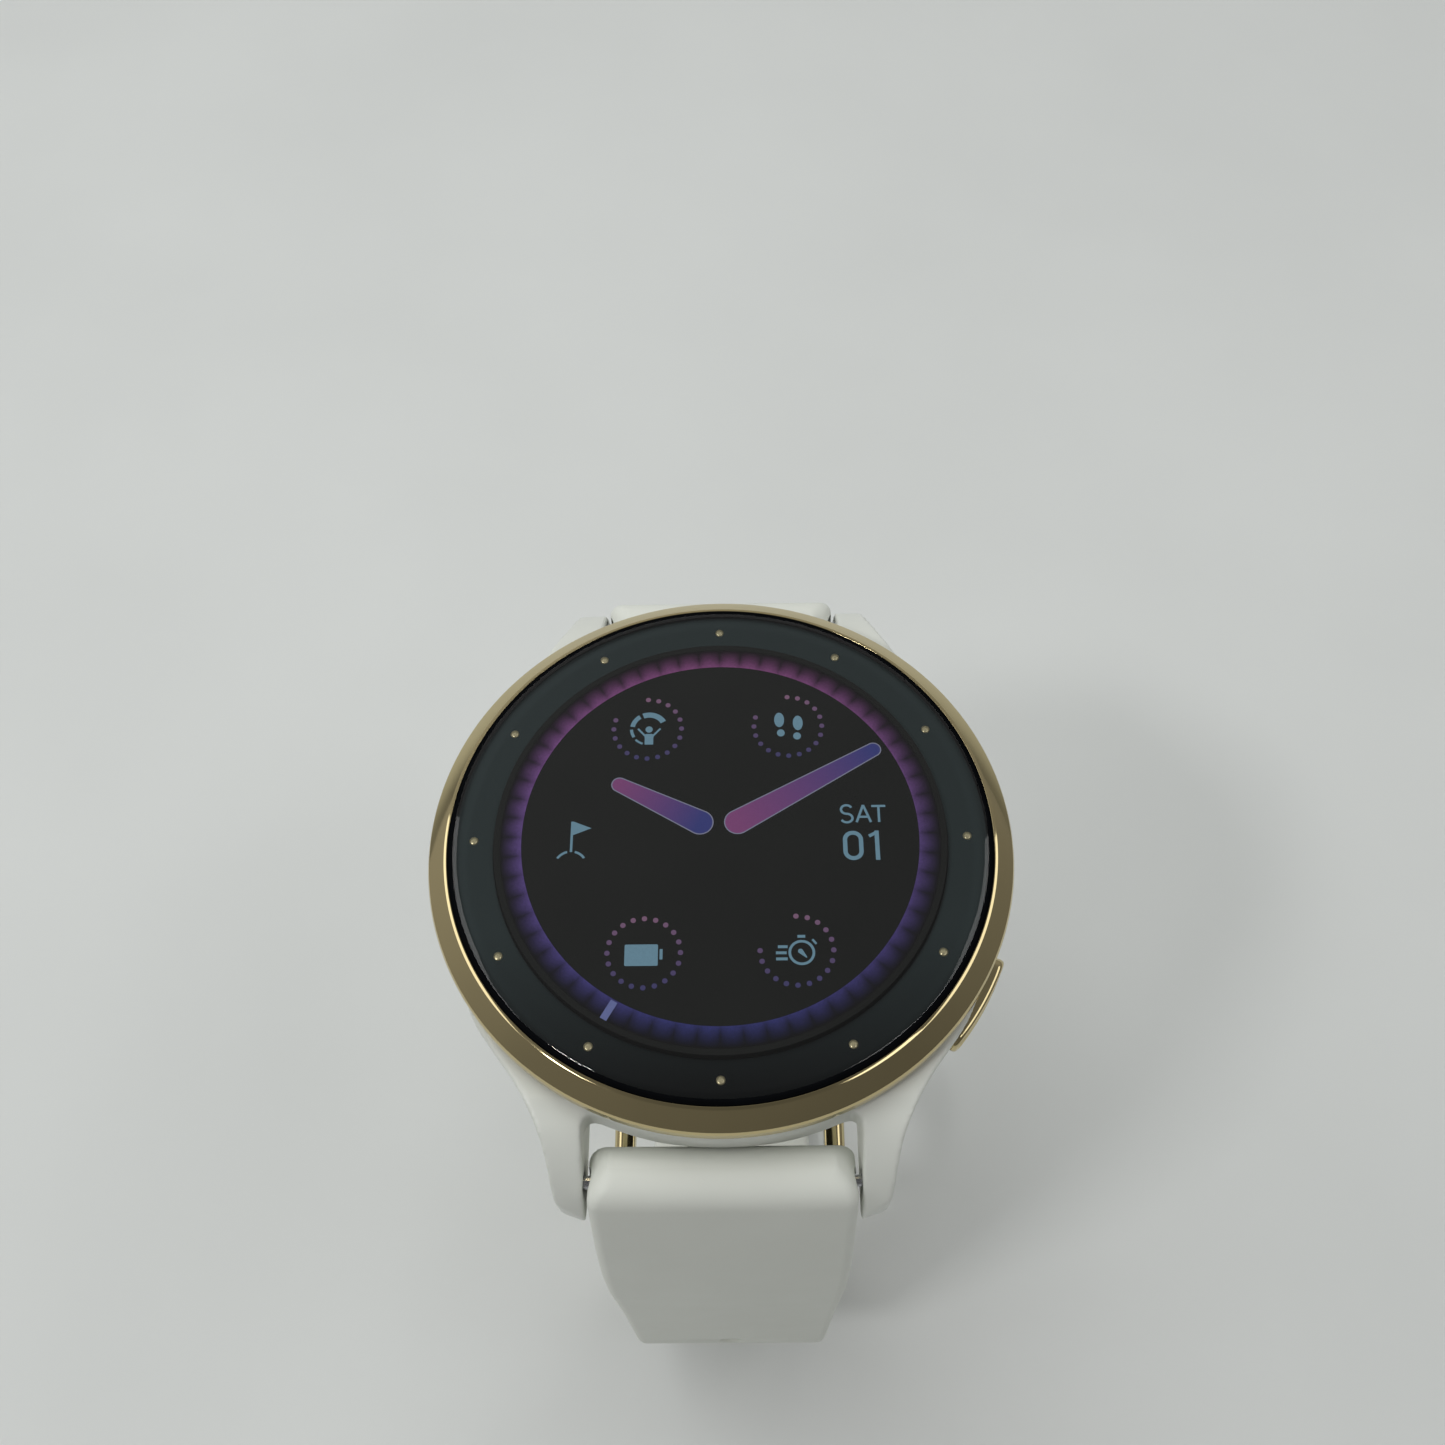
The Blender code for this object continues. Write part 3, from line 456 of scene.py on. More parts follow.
def turned(name, profile, closed=True, steps=FINE, centre=(0.0, 0.0)):
    """Turn (radius, height) points about an upright axis."""
    count = len(profile)
    verts = []
    for k in range(steps):
        angle = 2 * math.pi * k / steps
        verts += [(centre[0] + r * math.cos(angle), centre[1] + r * math.sin(angle), z)
                  for r, z in profile]
    faces = []
    for k in range(steps):
        one, two = k * count, (k + 1) % steps * count
        for i in range(count if closed else count - 1):
            j = (i + 1) % count
            faces.append((one + i, two + i, two + j, one + j))
    return mesh_from(name, verts, faces)


def round_bar(name, start, end, radii, steps=48):
    """A turned bar between two points: one radius, or (share of the length, radius) stations."""
    if isinstance(radii, float):
        radii = ((0.0, radii), (1.0, radii))
    start, end = Vector(start), Vector(end)
    profile = [(0.0, radii[0][0])] + [(r, share) for share, r in radii] + [(0.0, radii[-1][0])]
    length = (end - start).length
    mesh = turned(name, [(r, share * length) for r, share in profile], False, steps)
    turn = Vector((0, 0, 1)).rotation_difference(end - start).to_matrix().to_4x4()
    mesh.transform(Matrix.Translation(start * MM) @ turn)
    return mesh


def rounded_box(name, low, high, bevel, segments=4, only_along=None):
    low, high = Vector(low), Vector(high)
    bm = bmesh.new()
    bmesh.ops.create_cube(bm, size=1.0)
    matrix = Matrix.Translation((low + high) / 2 * MM) @ Matrix.Diagonal((*((high - low) * MM), 1.0))
    bmesh.ops.transform(bm, matrix=matrix, verts=bm.verts)
    edges = bm.edges[:]
    if only_along is not None:
        edges = [e for e in edges if abs((e.verts[0].co - e.verts[1].co)[only_along]) > 1e-6]
    bmesh.ops.bevel(bm, geom=edges, offset=bevel * MM, segments=segments, affect="EDGES", profile=0.5)
    return stored(bm, bpy.data.meshes.new(name))


def joined(name, meshes):
    bm = bmesh.new()
    for mesh in meshes:
        bm.from_mesh(mesh)
    return stored(bm, bpy.data.meshes.new(name))


def carved(mesh, tools, operation="DIFFERENCE", bevel=0.0):
    """Cut or join tool meshes in turn, then round the sharp edges."""
    base = placed(mesh.name, mesh)
    helpers = []
    for tool in tools:
        other = placed("tool", tool)
        other.hide_render = True
        helpers.append(other)
        modifier = base.modifiers.new("Cut", "BOOLEAN")
        modifier.operation = operation
        modifier.solver = "EXACT"
        modifier.object = other
    if bevel:
        modifier = base.modifiers.new("Round", "BEVEL")
        modifier.width = bevel * MM
        modifier.segments = 3
        modifier.angle_limit = math.radians(50)
    return settled(base, helpers)


def settled(base, helpers=()):
    """The evaluated mesh of a working object, which is then removed with its helpers."""
    bpy.context.view_layer.update()
    graph = bpy.context.evaluated_depsgraph_get()
    made = bpy.data.meshes.new_from_object(base.evaluated_get(graph))
    for obj in (base, *helpers):
        bpy.data.objects.remove(obj)
    return made


def softened(mesh, voxel, passes):
    """Rebuild a closed mesh evenly and melt its edges together."""
    base = placed(mesh.name, mesh)
    remesh = base.modifiers.new("Even", "REMESH")
    remesh.mode = "VOXEL"
    remesh.voxel_size = voxel * MM
    melt = base.modifiers.new("Melt", "SMOOTH")
    melt.factor = 0.5
    melt.iterations = passes
    return settled(base)


def copy_of(node):
    mesh = NODES[node].data.copy()
    bm = bmesh.new()
    bm.from_mesh(mesh)
    bmesh.ops.remove_doubles(bm, verts=bm.verts, dist=1e-6)
    return stored(bm, mesh)


# ---------------- head

def inside_profile(mesh, end):
    """The part of a mesh that lies within the lugs' curved outline from the side."""
    back = curved([(17.6, CASE_TOP - 0.05), (19.6, 8.35), (21.4, 7.1), (22.9, 5.5), (23.8, 3.9),
                   (24.1, 2.9), (23.8, 2.45), (22.6, 2.3)])
    profile = [(11.0, CASE_TOP - 0.05), *back, (18.5, 2.6), (11.0, 3.2)]
    keep = extruded("keep", [(end * y, z) for y, z in profile], -18.0, 18.0)
    keep.transform(Matrix(((0, 0, 1, 0), (1, 0, 0, 0), (0, 1, 0, 0), (0, 0, 0, 1))))
    return carved(mesh, [keep], "INTERSECT")


def lug(side, end):
    """One lug, with its curved outline from above."""
    flank = curved([(9.6, 24.0), (10.9, 23.5), (11.25, 23.0), (11.5, 21.6), (11.95, 19.8),
                    (12.75, 17.9), (13.75, 16.2), (14.9, 14.6), (16.3, 12.6), (17.25, 10.6)])

    def plan_at(z):
        """The outline at a height: the flank draws in below, most where it meets the case wall."""
        plan = [(LUG_INNER_X, 15.0), (LUG_INNER_X, 24.05)]
        for k, (x, y) in enumerate(flank):
            slope = 0.02 + 0.30 * (k / len(flank)) ** 2
            grow = 1 + slope * (z - 8.3) / math.hypot(x, y)
            plan.append((x * grow, y * grow))
        return [(side * x, end * y) for x, y in plan + [(14.0, 10.4)]]

    return inside_profile(extruded("lug", plan_at(1.0), 1.0, 11.5, plan_at(11.5)), end)


def web(side, end):
    """The small rounded web between the case wall and the inner face of a lug."""
    x = LUG_INNER_X - WEB_R
    y = math.sqrt((CASE_R + WEB_R) ** 2 - x ** 2)
    first = math.atan2(-y, -x)
    outline = [(LUG_INNER_X + 0.3, 17.6), (LUG_INNER_X - 1.5, 17.6)]
    for k in range(7):
        angle = first * (1 - k / 6)
        outline.append((x + WEB_R * math.cos(angle), y + WEB_R * math.sin(angle)))
    outline = [(side * px, end * py) for px, py in outline + [(LUG_INNER_X + 0.3, y)]]
    return inside_profile(extruded("web", outline, 6.5, 11.5), end)


def on_button_axis(angle, reach):
    """The point on a button's own axis this far from the watch's axis."""
    direction = Vector((math.cos(math.radians(angle)), math.sin(math.radians(angle)), 0.0))
    return direction * reach + Vector((0.0, 0.0, BUTTON_Z))


def button_pocket(angle):
    """The pill-shaped pocket behind a button cap."""
    outline = pill_outline(BUTTON_HALF_L - BUTTON_HALF_H, BUTTON_HALF_H + 0.2)
    mesh = extruded("pocket", outline, 18.9, 23.0)
    lay = Matrix(((0, 0, 1, 0), (1, 0, 0, 0), (0, 1, 0, BUTTON_Z * MM), (0, 0, 0, 1)))
    mesh.transform(Matrix.Rotation(math.radians(angle), 4, "Z") @ lay)
    return mesh


def make_case():
    wall = curved([(CASE_R, CASE_TOP), (20.4, 8.3), (20.3, 6.9), (19.95, 5.4), (19.3, 4.1), (18.5, 3.1),
                   (18.3, 2.6)])
    mesh = turned("case_shell", [(0.0, CASE_TOP), *wall, (0.0, 2.6)], False)
    mesh = carved(mesh, [make(side, end) for make in (lug, web) for side in (-1, 1) for end in (-1, 1)],
                  "UNION")
    cavity = [(0.0, 12.0), (17.0, 12.0), (17.0, 4.2), (17.9, 4.2), (17.9, 1.0), (0.0, 1.0)]
    tools = [turned("cavity", cavity, False)]
    for y, room in ((-BAR_Y, LONG_BARREL_R + 0.26), (BAR_Y, BARREL_R + 0.4)):
        for reach, radius in ((LUG_INNER_X, room), (10.1, 0.6)):
            ends = ((-reach, y, BAR_Z), (reach, y, BAR_Z))
            tools.append(round_bar("bar_cut", *ends, radius, 64))
    for angle, _ in BUTTONS.values():
        tools.append(button_pocket(angle))
        ends = (on_button_axis(angle, 16.0), on_button_axis(angle, 20.0))
        tools.append(round_bar("stem_hole", *ends, 1.35, 32))
    mesh = softened(carved(mesh, tools), CASE_VOXEL, 4)
    show("case_shell", mesh, CASE, HEAD, ["case_body"], 60.0)


def make_bezel():
    profile = [(18.98, 11.72), (19.22, 11.63), (20.40, 10.68), (BEZEL_R, 10.42),
               (BEZEL_R, 9.75), (20.35, 9.4), (20.1, 9.28), (17.4, 9.25), (17.4, 9.95), (18.98, 9.95)]
    mesh = turned("bezel_ring", fillet(profile, 0.06), steps=FINEST)
    show("bezel_ring", mesh, GOLD, HEAD, ["bezel"], 60.0)


def make_glass():
    edge = fillet([(0.0, GLASS_TOP), (18.25, GLASS_TOP), (18.62, 11.9), (GLASS_R, 11.62),
                   (GLASS_R, 11.3)], 0.35, 5, closed=False)
    mesh = turned("glass_cap", edge, False, FINEST)
    show("glass_cap", mesh, GLASS, HEAD, ["cover_glass"], 60.0)


def make_dial():
    plate = [(18.95, RING_Z), (18.95, 11.2), (15.2, 11.2), (15.2, RING_Z)]
    show("printed_ring_painted_shade", turned("printed_ring_painted_shade", plate), PRINT_AND_PAINTED_SHADE, HEAD, ["dial_ring"])
    lens = fillet([(0.0, LENS_TOP), (LENS_R, LENS_TOP), (LENS_R + 0.12, RING_Z - 0.05),
                   (0.0, RING_Z - 0.05)], 0.04, closed=False)
    mesh = turned("display_lens", lens, False)
    show("display_lens", mesh, DISPLAY_BLACK, HEAD, ["display_panel"])
    # Painted shade: a black band under the glass's rounded edge stands in for the edge's darkening.
    band = fillet([(18.56, 11.4), (18.56, 11.93), (18.74, 11.86), (18.94, 11.68), (18.94, 11.4)], 0.05)
    show("glass_edge", turned("glass_edge", band, steps=FINEST), EDGE_PAINTED_SHADE, HEAD)
    dome = [(0.0, 0.07), (0.17, 0.055), (0.27, 0.02), (DOT_R, -0.03), (DOT_R, -0.1), (0.0, -0.1)]
    dots = []
    for hour in range(12):
        angle = math.radians(30 * hour)
        centre = (DOTS_R * math.sin(angle), DOTS_R * math.cos(angle))
        profile = [(r, RING_Z + 0.04 + z) for r, z in dome]
        dots.append(turned("dot", profile, False, 24, centre))
    show("hour_dots", joined("hour_dots", dots), DOT_GOLD, HEAD)


# ---------------- dial art

ICE = rgb(94, 126, 142)
MAGENTA = rgb(110, 60, 104)
VIOLET = rgb(72, 56, 108)
INDIGO = rgb(42, 51, 106)
OUTLINE = rgb(112, 114, 134)
SECOND = rgb(90, 98, 142)
GAUGE_TOP = rgb(112, 82, 106)
GAUGE_LOW = rgb(56, 54, 92)
RING_TOP = rgb(112, 62, 106)
RING_SIDE = rgb(80, 60, 112)
RING_LOW = rgb(42, 45, 98)


class Art:
    """Flat lit shapes on the display, drawn about one point, with a colour at every corner."""

    def __init__(self, level=0, origin=(0.0, 0.0)):
        self.origin = origin
        self.z = ART_Z + ART_STEP * level
        self.verts, self.faces, self.tints = [], [], []

    def corner(self, x, y, tint):
        self.verts.append((self.origin[0] + x, self.origin[1] + y, self.z))
        self.tints.append(tint(x, y) if callable(tint) else tint)

    def shape(self, points, tint=ICE):
        first = len(self.verts)
        for x, y in points:
            self.corner(x, y, tint)
        self.faces.append(tuple(range(first, first + len(points))))

    def strip(self, left, right, tint=ICE):
        """A ribbon between two lines of points."""
        first = len(self.verts)
        for pair in zip(left, right):
            for x, y in pair:
                self.corner(x, y, tint)
        for i in range(len(left) - 1):
            a = first + 2 * i
            self.faces.append((a, a + 1, a + 3, a + 2))

    def disc(self, centre, radius, tint=ICE, tall=1.0, count=28):
        turns = [2 * math.pi * k / count for k in range(count)]
        self.shape([(centre[0] + radius * math.cos(turn), centre[1] + tall * radius * math.sin(turn))
                    for turn in turns], tint)

    def stroke(self, points, width, tint=ICE):
        """A line of one width with square ends."""
        points = [Vector(p) for p in points]
        left, right = [], []
        for i, point in enumerate(points):
            before = points[max(i - 1, 0)]
            after = points[min(i + 1, len(points) - 1)]
            ahead = (after - before).normalized()
            side = Vector((-ahead.y, ahead.x)) * width / 2
            left.append(point + side)
            right.append(point - side)
        self.strip(left, right, tint)

    def arc(self, centre, inner, outer, start, end, count=24):
        """A sector of a ring, angles in degrees clockwise from the top."""
        angles = [math.radians(start + (end - start) * k / count) for k in range(count + 1)]
        self.strip(*([(centre[0] + r * math.sin(a), centre[1] + r * math.cos(a)) for a in angles]
                     for r in (inner, outer)))

    def capsule(self, start, start_r, end, end_r, tint=ICE, count=24):
        """A tapered bar with round ends, in cross strips so that its colour can change."""
        start, end = Vector(start), Vector(end)
        ahead = (end - start).normalized()
        side = Vector((-ahead.y, ahead.x))
        quarter = [math.pi / 2 * k / count for k in range(count + 1)]
        left, right = [], []
        for centre, way, r, turns in ((start, -ahead, start_r, quarter),
                                      (end, ahead, end_r, quarter[::-1])):
            for turn in turns:
                at = centre + way * r * math.cos(turn)
                left.append(at + side * r * math.sin(turn))
                right.append(at - side * r * math.sin(turn))
        self.strip(left, right, tint)

    def finish(self, name, look=GLOW):
        mesh = bpy.data.meshes.new(name)
        mesh.from_pydata([Vector(v) * MM for v in self.verts], [], self.faces)
        layer = mesh.color_attributes.new("tint", "FLOAT_COLOR", "POINT")
        for entry, tint in zip(layer.data, self.tints):
            entry.color = tint
        for polygon in mesh.polygons:
            if polygon.normal.z < 0:
                polygon.flip()
        show(name, mesh, look, HEAD)


def blend(one, two, share):
    share = min(max(share, 0.0), 1.0)
    return tuple(a + (b - a) * share for a, b in zip(one, two))


def spectrum(share, first=MAGENTA, middle=VIOLET, last=INDIGO):
    """The first colour at 0, the middle one at a half and the last at 1."""
    if share < 0.5:
        return blend(first, middle, share * 2)
    return blend(middle, last, share * 2 - 1)


def light_ring():
    """Sixty soft petals: bright inside, fading outward, magenta above and indigo below."""
    ring = Art()
    steps, bands = 1440, 14
    lines = []
    for band in range(bands + 1):
        radius = LIGHT_INNER_R + (LIGHT_OUTER_R - LIGHT_INNER_R) * band / bands
        lines.append([(radius * math.sin(2 * math.pi * k / steps),
                       radius * math.cos(2 * math.pi * k / steps)) for k in range(steps + 1)])

    def tint(x, y):
        angle = math.atan2(x, y)
        out = (math.hypot(x, y) - LIGHT_INNER_R) / (LIGHT_OUTER_R - LIGHT_INNER_R)
        out = min(max(out, 0.0), 1.0)
        color = spectrum((1 - math.cos(angle)) / 2, RING_TOP, RING_SIDE, RING_LOW)
        notch = 1 - abs(math.sin(30 * angle)) ** 0.7
        level = 1.1 * (1 - out) ** 1.3 * (1 - notch * min(0.25 + 1.3 * out, 0.85))
        level *= 1 - 0.12 * math.sin(angle)
        return tuple(c * level for c in color[:3]) + (1.0,)

    for inner, outer in zip(lines, lines[1:]):
        ring.strip(inner, outer, tint)
    ring.finish("light_ring", RING_GLOW)


def hand(name, start, start_r, end, end_r, first, last):
    """One hand: a thin pale outline and a colour that runs along it."""
    edge = Art(2)
    edge.capsule(start, start_r + 0.05, end, end_r + 0.05, OUTLINE)
    edge.finish(name + "_outline")
    fill = Art(3)
    along = Vector(end) - Vector(start)

    def tint(x, y):
        share = (Vector((x, y)) - Vector(start)).dot(along) / along.length_squared
        return spectrum(first + (last - first) * min(max(share, 0.0), 1.0))

    fill.capsule(start, start_r - 0.03, end, end_r - 0.03, tint)
    fill.finish(name)


def gauge(name, centre, lit):
    """A ring of small dots, clockwise from the top, of which so many out of twenty are lit."""
    dots = Art(1, centre)
    for place in range(lit):
        angle = math.radians(18 * place)
        tint = blend(GAUGE_TOP, GAUGE_LOW, ((1 - math.cos(angle)) / 2) ** 0.7)
        dots.disc((GAUGE_R * math.sin(angle), GAUGE_R * math.cos(angle)), GAUGE_DOT_R, tint, count=16)
    dots.finish(name + "_dots")


def draw_energy(art):
    """A figure with raised arms inside an open dial."""
    for start, end, thick in ((-22, 61, 0.43), (-81, -33, 0.34), (-122, -92, 0.22), (-160, -133, 0.16)):
        art.arc((0.1, 0.0), 1.38 - thick, 1.38, start, end)
    art.disc((0.1, -0.05), 0.26)
    art.stroke([(-0.7, 0.02), (-0.2, -0.55)], 0.14)
    art.stroke([(0.92, 0.02), (0.42, -0.55)], 0.14)
    art.shape([(-0.27, -0.46), (-0.05, -0.42), (0.27, -0.42), (0.5, -0.46), (0.42, -0.75),
               (0.42, -1.3), (-0.2, -1.3), (-0.2, -0.75)])


def draw_steps(art):
    """Two shoe prints."""
    for x, y, lean in ((-0.62, 0.53, 0.05), (0.72, 0.26, -0.04)):
        art.disc((x, y), 0.36, tall=1.68)
        art.disc((x + lean * 2, y - 1.09), 0.28, tall=1.05)


def draw_battery(art):
    for left, low, right, high, r in ((-1.28, -0.92, 0.95, 0.6, 0.1), (1.06, -0.48, 1.26, 0.26, 0.04)):
        art.shape(fillet([(left, low), (right, low), (right, high), (left, high)], r))


def draw_timer(art):
    """A stopwatch with three speed lines."""
    art.arc((0.32, -0.16), 0.71, 0.89, 0, 360, 64)
    art.stroke([(0.06, 0.99), (0.58, 0.99)], 0.2)
    art.stroke([(1.05, 0.77), (1.31, 0.44)], 0.15)
    art.capsule((0.24, -0.06), 0.17, (0.62, -0.48), 0.05)
    for y, left, right in ((0.26, -1.26, -0.61), (-0.17, -1.4, -0.69), (-0.6, -1.4, -0.63)):
        art.stroke([(left, y), (right, y)], 0.2)


def draw_flag(art):
    """A plain golf pin: a pole with a pennant, standing in a cup on a short green."""
    art.stroke([(0.0, -1.0), (0.0, 1.35)], 0.17)
    art.shape([(0.085, 1.35), (1.35, 0.82), (0.085, 0.3)])
    art.arc((0.0, -2.05), 1.0, 1.17, -58, -14)
    art.arc((0.0, -2.05), 1.0, 1.17, 14, 58)


def curve_points(centre, radii, start, end, count=14):
    """Points on an ellipse's arc, degrees anticlockwise from +X."""
    angles = [math.radians(start + (end - start) * k / count) for k in range(count + 1)]
    return [(centre[0] + radii[0] * math.cos(a), centre[1] + radii[1] * math.sin(a)) for a in angles]


def day_letters():
    """The day of the week, SAT."""
    art = Art(1)
    low, high, width = 0.86, 2.20, 0.17
    middle = (low + high) / 2
    rise = (high - low) / 4
    s = curve_points((8.85, middle + rise), (0.38, rise), 25, 270)
    s += curve_points((8.85, middle - rise), (0.40, rise), 90, -155)[1:]
    bar = high - width / 2
    for line in (s, [(9.52, low), (10.02, high)], [(10.52, low), (10.02, high)],
                 [(9.68, low + 0.42), (10.36, low + 0.42)], [(10.6, bar), (11.58, bar)],
                 [(11.09, low), (11.09, high)]):
        art.stroke(line, width)
    art.finish("day_letters")


def date_numbers():
    """The date, 01."""
    art = Art(1)
    low, high, width = -2.04, 0.20, 0.30
    half = (high - low) / 2 - width / 2
    middle = (low + high) / 2
    outline = curve_points((9.2, middle + 0.45), (0.55, half - 0.45), 0, 180)
    outline += curve_points((9.2, middle - 0.45), (0.55, half - 0.45), 180, 360)
    art.stroke(outline + outline[:2], width)
    art.stroke([(10.86, low), (10.86, high)], width)
    art.stroke([(10.32, high - 0.42), (10.86, high - 0.13)], 0.24)
    art.finish("date_numbers")


def make_dial_art():
    light_ring()
    second = Art(1)
    angle = math.radians(210)
    ahead = Vector((math.sin(angle), math.cos(angle)))
    second.stroke([ahead * 13.9, ahead * 15.3], 0.5, SECOND)
    second.finish("second_mark")
    hand("hour_hand", (-1.39, 0.99), 0.90, (-7.11, 4.03), 0.53, 0.95, 0.0)
    hand("minute_hand", (1.24, 0.99), 0.90, (10.98, 6.65), 0.52, 0.0, 0.95)
    energy = (-GAUGE_X - 0.1, GAUGE_Y - 0.1)
    steps = (GAUGE_X - 0.17, GAUGE_Y)
    battery = (-GAUGE_X, -GAUGE_Y)
    timer = (GAUGE_X, -GAUGE_Y + 0.08)
    for name, at, lit in (("energy", energy, 17), ("steps", steps, 17), ("battery", battery, 20),
                          ("timer", timer, 16)):
        gauge(name, at, lit)
    for name, at, draw in (("energy", energy, draw_energy), ("steps", steps, draw_steps),
                           ("battery", battery, draw_battery), ("timer", timer, draw_timer),
                           ("flag", (-10.3, -0.2), draw_flag)):
        art = Art(1, at)
        draw(art)
        art.finish(name + "_icon")
    day_letters()
    date_numbers()


# ---------------- buttons

def pill_outline(straight, r, bow=18, run=12):
    """A lying pill: round ends of radius r joined by straight runs of 2 * straight."""
    right = [(straight + r * math.sin(math.pi * k / bow), -r * math.cos(math.pi * k / bow))
             for k in range(bow + 1)]
    top = [(straight * (1 - 2 * k / run), r) for k in range(1, run)]
    return right + top + [(-x, -y) for x, y in right + top]


def make_button(name, angle, outer):
    """A gold pill that follows the rim, dished along its middle."""
    layers = [(0.0, -1.05), (0.0, -0.34), (0.03, -0.2), (0.1, -0.08), (0.2, -0.02), (0.32, 0.0),
              (0.42, -0.03), (0.52, -0.12), (0.62, -0.2), (0.8, -0.23), (0.96, -0.235)]
    rings = []
    for inset, drop in layers:
        reach = outer + drop
        ring = []
        for along, rise in pill_outline(BUTTON_HALF_L - BUTTON_HALF_H, BUTTON_HALF_H - inset):
            around = math.radians(angle) + along / BEZEL_R
            ring.append((reach * math.cos(around), reach * math.sin(around), BUTTON_Z + rise))
        rings.append(ring)
    stations = ((0.0, 0.6), (0.03, 0.8), (0.1, 0.8), (0.1, 0.6), (0.22, 0.6), (0.22, 0.8), (1.0, 0.8))
    stem = round_bar("stem", on_button_axis(angle, 16.3), on_button_axis(angle, 20.0), stations, 32)
    title = "button_cap_" + name
    show(title, joined(title, [lofted(title, rings), stem]), GOLD, f"button_{name}_body",
         [f"button_{name}"])


# ---------------- back

def make_back():
    profile = [(17.6, 3.3), (17.6, 2.3), (17.3, 2.0), (14.0, 2.0), (13.9, 2.08), (13.7, 2.08),
               (13.6, 2.0), (12.9, 2.0), (12.2, 1.6), (11.6, 0.75), (11.3, 0.5), (10.5, 0.5),
               (10.5, 1.3), (9.3, 1.3), (9.3, 3.3)]
    mesh = turned("back_plate", fillet(profile, 0.18, 3), steps=192)
    tools = [rounded_box("port", (-4.4, -16.35, 1.0), (4.4, -12.75, 5.0), 0.9, 6, 2)]
    flare = [(0.0, 2.75), (1.15, 2.75), (1.15, 2.12), (1.3, 1.95), (1.3, 1.0), (0.0, 1.0)]
    through = [(0.0, 4.0), (0.6, 4.0), (0.6, 2.0), (0.0, 2.0)]
    for number, angle in enumerate(SCREW_ANGLES, 1):
        x, y = SCREW_R * math.cos(math.radians(angle)), SCREW_R * math.sin(math.radians(angle))
        tools.append(turned("counterbore", flare, False, 40, (x, y)))
        tools.append(turned("clearance", through, False, 24, (x, y)))
        make_screw(number, x, y)
    mesh = carved(mesh, tools)
    show("back_plate", mesh, BACK, HEAD, ["back_cover"])
    window = [(0.0, 1.0), (10.2, 1.0), (10.2, 0.3), (9.9, 0.0), (0.0, 0.0)]
    mesh = turned("sensor_lens", fillet(window, 0.15, 4, closed=False)[1:], False, 160)
    show("sensor_lens", mesh, TINTED, HEAD, ["sensor_window"])


def make_screw(number, x, y):
    """A pan head with a six-lobed recess."""
    head = [(0.0, 2.7), (0.95, 2.7), (0.95, 2.25), (0.78, 2.1), (0.0, 2.08)]
    mesh = turned("screw_head", fillet(head, 0.06, 3, closed=False), False, 48, (x, y))
    lobes = []
    for k in range(48):
        turn = 2 * math.pi * k / 48
        r = 0.40 + 0.07 * math.cos(6 * turn)
        lobes.append((x + r * math.cos(turn), y + r * math.sin(turn)))
    mesh = carved(mesh, [extruded("recess", lobes, 1.9, 2.4)])
    stations = ((0.0, 0.38), (0.95, 0.38), (1.0, 0.2))
    shank = round_bar("shank", (x, y, 2.65), (x, y, 5.6), stations, 20)
    name = f"screw_{number}"
    show(name, joined(name, [mesh, shank]), STEEL, HEAD, [f"back_screw_{number}"])


# ---------------- straps

def strap_line(stretches):
    """Dense points of the strap's middle line, with the heading and length at each."""
    place, heading, walked = Vector((BAR_Y, BAR_Z)), STRAP_DROP, 0.0
    rows = [(place.copy(), heading, 0.0)]
    for run, end in stretches:
        count = round(run / STRAP_STEP)
        for i in range(count):
            middle = heading + (end - heading) * (i + 0.5) / count
            place = place + Vector((math.cos(middle), math.sin(middle))) * run / count
            walked += run / count
            rows.append((place.copy(), heading + (end - heading) * (i + 1) / count, walked))
        heading = end
    return rows


def half_width(length):
    narrow = min(max(length - 18.0, 0.0) / 42.0, 1.0)
    return STRAP_HALF_W + (TIP_HALF_W - STRAP_HALF_W) * narrow


def half_thickness(length, barrel=BARREL_R):
    thin = min(length / 30.0, 1.0) ** 0.8
    return barrel + (STRAP_THICK / 2 - barrel) * thin


def strap_sections(line, tip, barrel):
    """Centre, heading, half width and half thickness of each section."""
    sections = []
    start, heading, _ = line[0]
    ahead = Vector((math.cos(heading), math.sin(heading)))
    for k in range(10):
        turn = math.pi / 2 * (0.12 + 0.88 * k / 10)
        back = math.cos(turn)
        width = STRAP_HALF_W - 1.5 * back ** 2.2
        sections.append((start - ahead * back * barrel, heading, width, barrel * math.sin(turn)))
    total = line[-1][2]
    for place, heading, length in line:
        width = half_width(length)
        left = total - length
        if tip and left < TIP_LENGTH:
            width = max(width * math.sqrt(1 - (1 - left / TIP_LENGTH) ** 2.6), 0.9)
        sections.append((place, heading, width, half_thickness(length, barrel)))
    return sections


def loft_strap(name, sections, end, bow=5):
    """Skin rounded sections into one closed solid."""
    rings = []
    for centre, heading, width, thick in sections:
        normal = Vector((-math.sin(heading), math.cos(heading)))
        corner = min(0.72 * thick, 0.85, 0.9 * width)
        ring = []
        for cx, cy, first in ((1, 1, 0), (-1, 1, 90), (-1, -1, 180), (1, -1, 270)):
            for k in range(bow + 1):
                a = math.radians(first + 90 * k / bow)
                at = centre + normal * (cy * (thick - corner) + corner * math.sin(a))
                ring.append((cx * (width - corner) + corner * math.cos(a), end * at.x, at.y))
        rings.append(ring)
    return lofted(name, rings)


